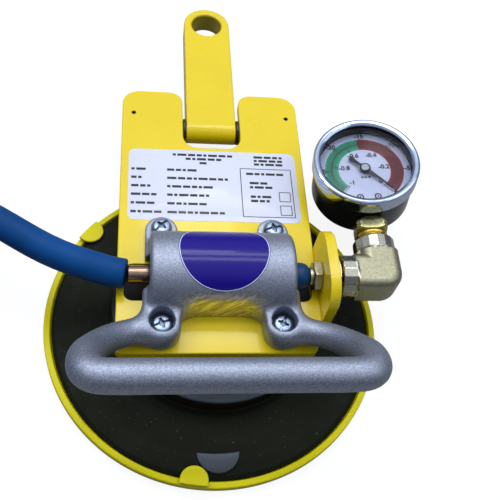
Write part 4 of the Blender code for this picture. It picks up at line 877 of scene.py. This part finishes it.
def casting_field(p):
    """Arched body, rear ears, front bosses and arms, with fillets between them, less the front opening,
    the counterbores, the screw holes and the cartridge's bore."""
    x, y, z = np.abs(p[:, 0]), p[:, 1], p[:, 2]
    around = np.hypot(y - LINE_Y, np.maximum(z - LINE_Z, 0.0))
    body = rounded_slab(around - BODY_RADIUS, x - BODY_HALF_LENGTH, 2.3)
    ear = np.maximum(np.hypot(x - SCREW_X, np.maximum(y - REAR_Y, 0.0)) - EAR_RADIUS, LINE_Y - y)
    body = blend_min(body, rounded_slab(ear, z - SCREW_SEAT, 1.0), 3.0)
    boss = np.maximum(np.hypot(x - SCREW_X, np.minimum(y - FRONT_Y, 0.0)) - BOSS_RADIUS, y - LINE_Y)
    body = blend_min(body, rounded_slab(boss, z - BOSS_TOP, 1.5), 4.5)
    opening = rounded_slab(x - OPENING_HALF, y - OPENING_BACK_Y, OPENING_ROUND)
    body = blend_max(body, -opening, 2.4)
    body = blend_min(body, bar(np.column_stack([x, y, z]), *ARM), 7.0)
    front, rear = (np.hypot(x - SCREW_X, y - at) for at in (FRONT_Y, REAR_Y))
    well = np.maximum(front - WELL_RADIUS, np.maximum(SCREW_SEAT - z, z - 56.0))
    body = blend_max(body, -well, 0.7)
    body = np.maximum(body, HOLE_RADIUS - np.minimum(front, rear))
    body = blend_max(body, BORE_RADIUS - around, 0.6)
    return blend_max(body, CASTING_FOOT - z, 0.5)


def build_casting():
    """The casting's skin."""
    points, rows = carved(casting_field, (-64.0, -64.0, 29.0), (64.0, 42.0, 77.5), 0.62)
    put("cast_handle", (points, rows), CAST, stands_for=("handle_casting",), crease=60.0)


def build_screw(name, x, y, turn):
    """Pan head and shank: a domed top with a slot right across and a cross recess, both cut as steep walls
    in its height: depth times the share of the wall's width that a point lies within the cut."""
    head, foot, top, tip = 4.9, SCREW_SEAT + 0.3, 40.5, 16.0
    radius = np.linspace(0.0, 1.0, 46)[1:] * (head - 0.15)
    angle = np.linspace(0.0, 2.0 * math.pi, 144, endpoint=False)
    r, a = np.meshgrid(radius, angle, indexing="ij")
    u, v = r * np.cos(a - math.radians(turn)), r * np.sin(a - math.radians(turn))
    dome = top - 0.75 * (r / head) ** 2 - 1.35 * np.clip((r / head - 0.62) / 0.38, 0.0, 1.0) ** 2.2
    wall = 0.07

    def within(reach, away, width):
        """Share of a wall's width by which a point lies inside a reach."""
        return np.clip((reach - away) / width, 0.0, 1.0)

    slot = within(0.58, np.abs(v), wall) * 1.35
    arm = within(0.62, np.abs(u), wall) * within(2.5, np.abs(v), 2.0 * wall) * 1.6
    z = dome - np.maximum(np.maximum(slot, arm), within(1.6, r, 0.5) * 1.7)
    cap = np.stack([r * np.cos(a), r * np.sin(a), z], axis=-1).reshape(-1, 3)
    side = [(head - 0.05, top - 2.2), (head, top - 2.45), (head, foot + 0.15), (head - 0.15, foot),
            (2.4, foot), (2.4, tip + 0.4), (2.0, tip)]
    around = len(angle)
    rings = [np.column_stack([w * np.cos(angle), w * np.sin(angle), np.full(around, h)]) for w, h in side]
    points, rows = ringed(np.vstack([cap] + rings), around, [0.0, 0.0, z[0].mean()], [0.0, 0.0, tip])
    depth = (dome - z).ravel()[rows[0][:(len(radius) - 1) * around]]
    # faces deep in the slot and cross, and the recess's middle, take the painted shade
    sunk = (depth.max(axis=1) > 0.3) & ((depth.min(axis=1) < 1.3) | (depth.max(axis=1) > 1.5))
    kinds = np.zeros(sum(len(r) for r in rows), dtype=int)
    kinds[:len(sunk)] = sunk
    kinds[len(rows[0]):len(rows[0]) + around] = 1
    put("screw_" + name, moved((points, rows), x, y), [ZINC, RECESS_SHADE],
        stands_for=("handle_screw_" + name,), kinds=kinds, crease=40.0)


def build_screws():
    """The four screws, each with its own turn in degrees."""
    for name, x, y, turn in (("front_left", -SCREW_X, FRONT_Y, 20.0), ("front_right", SCREW_X, FRONT_Y, 65.0),
                             ("rear_left", -SCREW_X, REAR_Y, 48.0), ("rear_right", SCREW_X, REAR_Y, 15.0)):
        build_screw(name, x, y, turn)


# ---- air line

def build_line():
    """Inlet tube, the short sleeve, the bulkhead hexagon with its collar and threaded stub, and its nut."""
    corners = [(0.0, -41.4), (3.6, -41.4), (4.0, -41.0), (4.0, -29.9), (0.0, -29.9)]
    put("brass_inlet", lathe(corners, [0, 0.3, 0.3, 0.3, 0], 4, 72, LINE), INLET_BRASS,
        stands_for=("inlet_tube",))
    corners = [(0.0, 29.9), (6.2, 29.9), (6.2, 37.4), (5.5, 39.4), (3.9, 40.6), (0.0, 40.6)]
    put("blue_sleeve", lathe(corners, [0, 0.4, 1.5, 1.5, 0.8, 0], 5, 80, LINE), SLEEVE,
        stands_for=("vacuum_sleeve",))
    start = 46.4 - 0.3 - 3.9        # the tab's near face, less a gap and the hexagon's thickness
    hexagon = turned([(0.0, start), (5.9, start)] + [(5.9 + 0.22 * k, start + 0.10 * k) for k in range(1, 7)]
                     + [(7.4, start + 2.0), (7.4, start + 3.3)]
                     + [(7.2 - 0.2 * k, start + 3.4 + 0.1 * k) for k in range(6)] + [(0.0, start + 3.9)],
                     144, 6, 12.7, 53.0)
    collar = lathe([(0.0, 40.9), (4.2, 40.9), (4.2, start + 0.5), (0.0, start + 0.5)], [0, 0.3, 0.1, 0], 4, 64)
    threads = [(5.0 - 0.35 * (k % 2), 46.2 + 0.42 * k) for k in range(34)]
    stub = turned([(0.0, 45.6), (4.6, 45.6)] + threads + [(4.4, 61.0), (0.0, 61.0)], 64)
    put("bulkhead_hexagon", seat(joined(hexagon, collar, stub), LINE), DULL_BRASS,
        stands_for=("bulkhead_fitting",))
    low, high = 51.5, 54.9
    nut = [(5.3, low), (7.0, low)] + [(7.0 + 0.3 * k, low + 0.13 * k) for k in range(1, 6)]
    nut += [(8.6, low + 1.4), (8.6, high - 1.4)] + [(8.5 - 0.3 * k, high - 0.65 + 0.13 * k) for k in range(6)]
    nut += [(5.3, high)]
    put("lock_nut", seat(turned(nut, 144, 6, 14.5), LINE), BRASS, stands_for=("bulkhead_nut",))


ELBOW_HALF = 9.3
BAND_REACH = 9.7
BAND_HALF_LENGTH = 3.4
BAND_SPOTS = (-15.7, 14.9)               # middles of the bands along the air line and towards the gauge


def many_sided(u, v, reach, sides, turn):
    """Distance from a regular polygon, from its middle to each flat."""
    wedge = 2.0 * math.pi / sides
    angle = (np.arctan2(v, u) - turn) % wedge - wedge / 2.0
    return np.hypot(u, v) * np.cos(angle) - reach


def elbow_field(p):
    """Forged block whose outer corner is one large upright round, with a notch and a web inside the bend, a
    sixteen-sided band on each leg, and both bores."""
    x, y, z = p[:, 0] - GAUGE_X, p[:, 1] - LINE_Y, p[:, 2] - LINE_Z
    u, v = x - 0.2, -y - 0.2
    corner = rounded_slab(u, v, 0.0) - ELBOW_HALF
    notch = np.maximum(x + 8.9, 8.9 - y)
    body = rounded_slab(blend_max(corner, -notch, 1.5), np.abs(z) - ELBOW_HALF, 4.6)
    body = blend_max(body, np.maximum(-x - 12.6, y - 11.4), 0.8)
    web = np.maximum((y - x - 20.6) / math.sqrt(2.0), np.abs(z) - 5.4)
    web = np.maximum(web, np.maximum(np.maximum(x, -y), np.maximum(-x, y) - 12.4))
    body = blend_min(body, web, 0.8)
    for across, along in ((y, x - BAND_SPOTS[0]), (x, y - BAND_SPOTS[1])):
        sides = np.maximum(many_sided(across, z, BAND_REACH, 16, 0.10), np.abs(along) - BAND_HALF_LENGTH)
        chamfer = (np.hypot(across, z) + np.abs(along) - BAND_REACH - BAND_HALF_LENGTH + 0.15) / math.sqrt(2.0)
        body = blend_min(body, np.maximum(sides, chamfer), 0.9)
    body = np.maximum(body, -np.maximum(np.hypot(y, z) - 5.3, x + 12.3))
    return np.maximum(body, -np.maximum(np.hypot(x, z) - 6.8, 10.3 - y))


def build_elbow():
    """The elbow's skin, with its bands in a brighter plate."""
    points, rows = carved(elbow_field, (53.6, -6.0, 26.0), (86.5, 26.5, 50.0), 0.3)
    middle = points[rows[0]].mean(axis=1)
    reach = BAND_HALF_LENGTH + 0.1
    bands = (middle[:, 0] < GAUGE_X + BAND_SPOTS[0] + reach) | (middle[:, 1] > LINE_Y + BAND_SPOTS[1] - reach)
    put("forged_elbow", (points, rows), [FORGED, BANDS], stands_for=("elbow_fitting",),
        kinds=bands.astype(int), crease=24.0)


def build_stem():
    """Gauge socket: thread, two golden beads, and a square whose corners are turned away at both ends."""
    y0 = -GAUGE_Y
    beads = [(0.0, y0 + 17.4), (6.0, y0 + 17.4), (6.5, y0 + 17.9), (6.5, y0 + 24.2), (7.3, y0 + 24.5),
             (7.6, y0 + 25.3), (7.3, y0 + 26.2), (6.9, y0 + 26.6), (7.3, y0 + 27.0), (7.6, y0 + 27.9),
             (7.3, y0 + 28.8), (6.6, y0 + 29.3), (0.0, y0 + 29.3)]
    radii = [0, 0.2, 0.3, 0.3, 0.3, 0.6, 0.3, 0.2, 0.3, 0.6, 0.3, 0.3, 0]
    put("golden_beads", lathe(beads, radii, 4, 96, STEM), GOLD)
    low, high = y0 + 29.1, y0 + 36.0
    quarter = [(math.sin(v), 1.0 - math.cos(v)) for v in np.linspace(0.0, 1.0, 14) * math.pi / 2.0]
    face = [(0.0, low), (6.3, low)] + [(6.4 + 2.9 * s, low + 1.7 * c) for s, c in quarter]
    waist = [(9.3, low + 2.1), (9.1, low + 2.5), (9.1, low + 2.8), (9.3, low + 3.1)]
    back = [(9.3 - 3.6 * c, high - 2.7 + 2.7 * s) for s, c in quarter]
    profile = face + waist + back + [(5.2, high), (5.2, -11.0), (0.0, -11.0)]
    put("gauge_socket", seat(turned(profile, 192, 4, 14.6, 45.0), STEM), OLIVE,
        stands_for=("gauge_stem",), crease=26.0)


# ---- gauge

DIAL_TOP = 9.9                           # height of the dial's face along the gauge's axis


def build_gauge_shell():
    """Chromed bezel with a rolled lip, black cup behind it, and the window."""
    corners = [(25.2, 10.5), (26.0, 10.5), (26.0, 17.0), (25.6, 18.0), (24.6, 18.5), (23.4, 18.1), (22.4, 17.3),
               (22.4, 16.9), (25.2, 16.9)]
    put("bezel_ring", lathe(corners, [0.2, 0.35, 0.8, 0.7, 0.8, 0.8, 0.3, 0.1, 0.1], 5, 192, GAUGE), CHROME,
        stands_for=("gauge_bezel",))
    corners = [(0.0, -8.5), (24.9, -8.5), (24.9, 14.3), (23.3, 14.3), (23.3, 8.8), (22.1, 8.8), (22.1, -6.9),
               (0.0, -6.9)]
    put("gauge_cup", lathe(corners, [0, 2.2, 0.3, 0.3, 0.2, 0.2, 0.5, 0], 6, 160, GAUGE), ENAMEL,
        stands_for=("gauge_case",))
    corners = [(0.0, 14.6), (24.9, 14.6), (24.9, 16.6), (0.0, 16.6)]
    put("gauge_window", lathe(corners, [0, 0.3, 0.3, 0], 3, 128, GAUGE), window_glass(),
        stands_for=("gauge_lens",))


def raised(outline, low, high):
    """Thin plate from a closed outline of two matching edges: quads across, on top, below and round it."""
    left, right = (np.asarray(side, dtype=float) for side in outline)
    n = len(left)
    points = np.vstack([np.column_stack([side, np.full(n, h)]) for h in (low, high) for side in (left, right)])
    i = np.arange(n - 1)
    a, b, c, d = i, i + n, i + 2 * n, i + 3 * n
    rows = [np.stack([a, a + 1, b + 1, b], axis=1), np.stack([c, d, d + 1, c + 1], axis=1),
            np.stack([a, c, c + 1, a + 1], axis=1), np.stack([b, b + 1, d + 1, d], axis=1),
            np.array([[0, n, 3 * n, 2 * n], [n - 1, 3 * n - 1, 4 * n - 1, 2 * n - 1]])]
    return points, rows


def band(inner, outer, start, end, low, high, steps=64):
    """Part of a flat ring between two angles in degrees."""
    a = np.radians(np.linspace(start, end, steps))
    ring = np.column_stack([np.cos(a), np.sin(a)])
    return raised((ring * inner, ring * outer), low, high)


def stroke(x0, y0, x1, y1, width, low, high):
    """Straight printed line between two points."""
    along = np.array([x1 - x0, y1 - y0])
    side = np.array([-along[1], along[0]]) / np.linalg.norm(along) * width / 2.0
    ends = np.array([(x0, y0), (x1, y1)])
    return raised((ends + side, ends - side), low, high)


def numeral(words, height, x, y, low, high):
    """Printed number centred on a point, from the built-in type, as a mesh of its own."""
    text = bpy.data.curves.new("numeral", "FONT")
    text.body = words
    text.size = height * 1.38
    text.align_x = "CENTER"
    text.align_y = "CENTER"
    text.extrude = (high - low) / 2.0
    text.resolution_u = 3
    text.offset = height * 0.05
    holder = shown("numeral", text)
    mesh = bpy.data.meshes.new_from_object(holder.evaluated_get(bpy.context.evaluated_depsgraph_get()))
    points = np.empty(len(mesh.vertices) * 3)
    mesh.vertices.foreach_get("co", points)
    mesh.calc_loop_triangles()
    corners = np.empty(len(mesh.loop_triangles) * 3, dtype=np.int32)
    mesh.loop_triangles.foreach_get("vertices", corners)
    bpy.data.objects.remove(holder)
    bpy.data.curves.remove(text)
    bpy.data.meshes.remove(mesh)
    points = points.reshape(-1, 3) + np.array([x, y, (low + high) / 2.0])
    return points, [corners.reshape(-1, 3)]


def radial(degrees, inner, outer, width, low, high):
    """Straight printed line along a radius."""
    c, s = math.cos(math.radians(degrees)), math.sin(math.radians(degrees))
    return stroke(inner * c, inner * s, outer * c, outer * s, width, low, high)


def band_at(x, y, inner, outer, low, high):
    """Full printed ring, or a dot, round a point."""
    if inner == 0.0:
        return moved(turned([(0.0, low), (outer, low), (outer, high), (0.0, high)], 24), x, y)
    return moved(turned([(inner, low), (outer, low), (outer, high), (inner, high)], 32), x, y)


DIAL_START = -45.0                       # degrees
DIAL_CHANGE = 95.0                       # where the red band ends and the green one starts
DIAL_END = 225.0
NUMBER_HEIGHT = 2.6
BAR_TURNS = (-46.5, 226.5)
SCALES = (                               # count, step, long every; ticks' ends, long ends; short width
    (55, 5.0, 9, (16.2, 18.3), (16.2, 19.8), 0.46),
    (51, 5.4, 10, (14.4, 16.2), (12.8, 16.2), 0.42),
)
NUMBERS = (                              # step in degrees, radius across and up, words
    (45.0, 21.4, 21.3, ("0", "-5", "-10", "-15", "-20", "-25", "-30")),
    (54.0, 10.0, 10.2, ("0", "-0.2", "-0.4", "-0.6", "-0.8", "-1")),
)


def build_dial():
    """White dial, printed by thin raised marks: colour bands, ticks, numbers, ringed dots and pale bars."""
    top = DIAL_TOP
    corners = [(1.1, 9.1), (23.0, 9.1), (23.0, top), (1.1, top)]
    put("dial_plate", lathe(corners, [0.1, 0.1, 0.1, 0.1], 2, 128, GAUGE), DIAL,
        stands_for=("gauge_dial",))
    low, high = top - 0.02, top + 0.05
    for name, start, end, finish in (("green", DIAL_CHANGE, DIAL_END, GREEN), ("red", DIAL_START, DIAL_CHANGE, RED)):
        put("dial_%s_band" % name, seat(band(12.9, 19.4, start, end, low, high), GAUGE), finish)
    ink = [band(15.85, 16.45, DIAL_START, DIAL_END, low, high + 0.03, 128)]
    for count, step, every, short, long, width in SCALES:
        for k in range(count):
            ends, wide = (long, 0.70) if k % every == 0 else (short, width)
            ink.append(radial(DIAL_START + step * k, *ends, wide, low, high + 0.04))
    for step, across, up, words in NUMBERS:
        for k, word in enumerate(words):
            a = math.radians(DIAL_START + step * k)
            ink.append(numeral(word, NUMBER_HEIGHT, across * math.cos(a), up * math.sin(a), low, high + 0.04))
    for x in (-4.3, 4.3):
        ink += [band_at(x, -16.0, inner, outer, low, high + 0.03) for inner, outer in ((1.05, 1.75), (0.0, 0.5))]
    ink += [stroke(x - 0.6, -4.3, x + 0.6, -4.3, 1.1, low, high + 0.03) for x in (-1.8, 0.0, 1.8)]
    ink += [radial(turn, 12.6, 19.6, 1.3, low, high + 0.02) for turn in BAR_TURNS]
    put("dial_marks", seat(joined(*ink), GAUGE), PRINT_BLACK)
    ends = [radial(turn, 13.0, 18.5, 0.55, low, high + 0.05) for turn in BAR_TURNS]
    put("dial_end_bars", seat(joined(*ends), GAUGE), DIAL)


def build_pointer():
    """Tapered black pointer with a widening tail and a hub, its silver centre, and the spindle."""
    turn = math.radians(-46.0)
    origin, across, axis = np.array(GAUGE)
    place = (origin + axis * DIAL_TOP, across * math.cos(turn) + np.array((0.0, 1.0, 0.0)) * math.sin(turn), axis)
    outline = [(18.2, 0.12), (10.9, 0.5), (0.0, 1.05), (-4.5, 0.75), (-6.4, 0.75), (-9.0, 1.35), (-9.6, 1.2),
               (-9.6, -1.2), (-9.0, -1.35), (-6.4, -0.75), (-4.5, -0.75), (0.0, -1.05), (10.9, -0.5), (18.2, -0.12)]
    outline = softened(outline, [0.05, 0, 0, 1.0, 1.0, 0.4, 0.3, 0.3, 0.4, 1.0, 1.0, 0, 0, 0.05], 3)
    blade = pressed(outline, edged(1.4, 2.0, 0.12, 3))
    hub = lathe([(0.0, 1.1), (2.7, 1.1), (2.7, 2.5), (2.2, 2.7), (0.0, 2.7)], [0, 0.2, 0.3, 0.3, 0], 4, 64)
    spindle = turned([(0.0, -4.8), (0.8, -4.8), (0.8, 1.4), (0.0, 1.4)], 32)
    put("needle", seat(joined(blade, hub, spindle), place), POINTER, body="pointer",
        stands_for=("gauge_pointer",))
    corners = [(0.0, 2.6), (2.0, 2.6), (2.0, 2.85), (1.6, 2.95), (0.0, 2.95)]
    put("needle_centre", lathe(corners, [0, 0, 0.2, 0.3, 0], 4, 48, place), SATIN, body="pointer")


# ---- shaded hole inserts, label and decal

def build_shaded_inserts():
    """Black threaded cup in each small hole of the plate: a dark piece put in as painted shade, so that the hole
    looks dark.
    """
    threads = [(0.72 + 0.14 * (k % 2), PLATE_TOP - 3.2 + 0.18 * k) for k in range(17)]
    cup = [(0.0, PLATE_TOP - 4.2), (1.22, PLATE_TOP - 4.2), (1.22, PLATE_TOP - 0.25), (0.95, PLATE_TOP - 0.15)]
    cup += threads[::-1] + [(0.0, PLATE_TOP - 3.4)]
    for side, x in (("left", -40.5), ("right", 40.5)):
        # the black ink finish stands here for the shade inside the hole
        put("hole_shade_insert_" + side, moved(turned(cup, 32), x, 107.5), PRINT_BLACK)


def build_label():
    """Data plate with rows of short dashes and ruled boxes."""
    low, high = PLATE_TOP, PLATE_TOP + 0.12
    film = pressed(round_box(-42.5, 42.5, 39.8, 83.2, 3.6, 8), edged(low, high, 0.05, 2))
    put("data_plate", film, LABEL)
    low, high = high - 0.01, high + 0.05
    ink = []
    columns = ((-41.0, (-33.6, -30.8, -30.2, -26.8, -27.0, -24.6)), (-23.4, (-7.8, 7.2, 0.8, 1.0, -2.0, 4.8)))
    rows = [(70.4 - 5.15 * k, x, end) for x, ends in columns for k, end in enumerate(ends)]
    rows += [(80.2, -20.5, 10.4), (77.7, -14.0, 6.0), (75.2, -7.0, -1.6)]
    rows += [(y, 21.0, 37.4) for y in (80.2, 77.9, 75.6)]
    rows += [(69.4, 16.5, 36.8)] + [(y, 18.0, 30.4) for y in (63.6, 61.0, 55.2, 52.6)]
    for k, (y, x, end) in enumerate(rows):
        for j in range(9):
            long = 1.6 + 1.0 * ((k * 5 + j * 3) % 4)
            if x + long < end:
                ink.append(stroke(x, y, x + long, y, 1.4, low, high))
            x += long + 0.8
    for x0, y0, x1, y1 in ((13.6, 43.0, 39.6, 72.6), (32.6, 44.4, 38.2, 50.0), (32.6, 52.6, 38.2, 58.2)):
        corners = [(x0, y0), (x1, y0), (x1, y1), (x0, y1)]
        ink += [stroke(*a, *b, 0.4, low, high) for a, b in zip(corners, corners[1:] + corners[:1])]
    put("data_plate_rules", joined(*ink), PRINT_BLACK)


def build_decal():
    """Round film on top of the casting: radius and angle in the film, rolled round the body's axis, with a
    pale ring near its rim."""
    radius = np.concatenate([np.linspace(0.0, 19.0, 26)[1:], [19.3, 19.65, 19.9]])
    angle = np.linspace(0.0, 2.0 * math.pi, 128, endpoint=False)
    centre = math.radians(82.7)
    under, over = 0.02, 0.14

    def rolled(r, a, lift):
        """Points at a height over the casting."""
        turn = centre + r * np.sin(a) / BODY_RADIUS
        reach = BODY_RADIUS + lift
        return np.stack([r * np.cos(a), LINE_Y + reach * np.cos(turn), LINE_Z + reach * np.sin(turn)], axis=-1)

    r, a = np.meshgrid(radius, angle, indexing="ij")
    top, low = (rolled(r, a, lift).reshape(-1, 3) for lift in (over, under))
    count, around = len(radius), len(angle)
    points = np.vstack([top, low] + [rolled(np.zeros(1), np.zeros(1), lift) for lift in (over, under)])
    up = wrapped(count, around)
    down = up[:, ::-1] + len(top)
    last = (count - 1) * around
    j = np.arange(around)
    k = (j + 1) % around
    rim = np.stack([last + j, last + k, len(top) + last + k, len(top) + last + j], axis=1)
    rows = [up, down, rim, fan(len(points) - 2, 0, around)[:, ::-1], fan(len(points) - 1, len(top), around)]
    ring = np.repeat((radius[1:] > 19.5) & (radius[1:] < 19.8), around)
    kinds = np.concatenate([ring, ring, np.zeros(3 * around, dtype=bool)]).astype(int)
    put("round_decal", (points, rows), [VIOLET, LABEL], kinds=kinds)


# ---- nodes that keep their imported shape

def skin_group(name, weld, angle=None):
    """Geometry nodes that join a mesh's touching corners and shade it smooth, or, with an angle, keep its
    edges crisp where they turn by more than that."""
    group = bpy.data.node_groups.new(name, "GeometryNodeTree")
    for way in ("INPUT", "OUTPUT"):
        group.interface.new_socket("Geometry", in_out=way, socket_type="NodeSocketGeometry")
    start = add_node(group, "NodeGroupInput").outputs[0]
    merge = add_node(group, "GeometryNodeMergeByDistance", Geometry=start, Distance=weld * MM)
    shade = add_node(group, "GeometryNodeSetMeshNormal", {"mode": "SHARPNESS"}, _0=merge.outputs[0],
                     Remove_Custom=True, Face_Sharpness=False)
    add_node(group, "NodeGroupOutput", _0=shade.outputs[0])
    if angle:
        turn = add_node(group, "GeometryNodeInputMeshEdgeAngle").outputs[0]
        sharp = add_node(group, "FunctionNodeCompare", {"operation": "GREATER_THAN"}, _0=turn, _1=angle)
        feed(group, shade, {"Edge Sharpness": sharp.outputs[0]})
    return group


def dress_nodes():
    """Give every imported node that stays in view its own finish, and break the edges of the larger ones."""
    sides = ("left", "right")
    finishes = {"frame_plate": POWDER, "pivot_pin": STEEL, "vacuum_port": BRASS, "vacuum_generator": BRASS,
                "gauge_movement": BRASS}
    for name, finish in (("pivot_lug_", POWDER), ("pin_grub_screw_", STEEL), ("pivot_washer_", NYLON),
                         ("generator_seal_", RUBBER), ("hub_spacer_front_", ZINC), ("hub_spacer_rear_", ZINC)):
        finishes.update({name + side: finish for side in sides})
    for name, finish in finishes.items():
        for place in bpy.data.objects[name].material_slots:
            place.material = finish
    welded = skin_group("welded_skin", 0.005)
    smoother = skin_group("smooth_rounds", 0.0005, math.radians(42.0))
    pairs = [kind + side for kind in ("pivot_lug_", "pivot_washer_") for side in sides]
    for name in ["frame_plate", "pivot_pin"] + pairs:
        node = bpy.data.objects[name]
        node.modifiers.new("welded_skin", "NODES").node_group = welded
        edge = node.modifiers.new("broken_edges", "BEVEL")
        edge.width = (0.45 if name == "frame_plate" else 0.25) * MM
        edge.segments = 3
        edge.limit_method = "ANGLE"
        edge.angle_limit = math.radians(60.0)
        edge.harden_normals = False
        node.modifiers.new("smooth_rounds", "NODES").node_group = smoother
        node.modifiers.new("flat_faces", "WEIGHTED_NORMAL").keep_sharp = True


def main():
    """Everything in turn; the hose's end is made first."""
    make_camera()
    build_hose(build_hose_end())
    for step in (make_floor, make_light, build_cover, build_pad, build_hub, build_bail, build_casting, build_screws,
                 build_line, build_elbow, build_stem, build_gauge_shell, build_dial, build_pointer, build_shaded_inserts,
                 build_label, build_decal, dress_nodes):
        step()


main()
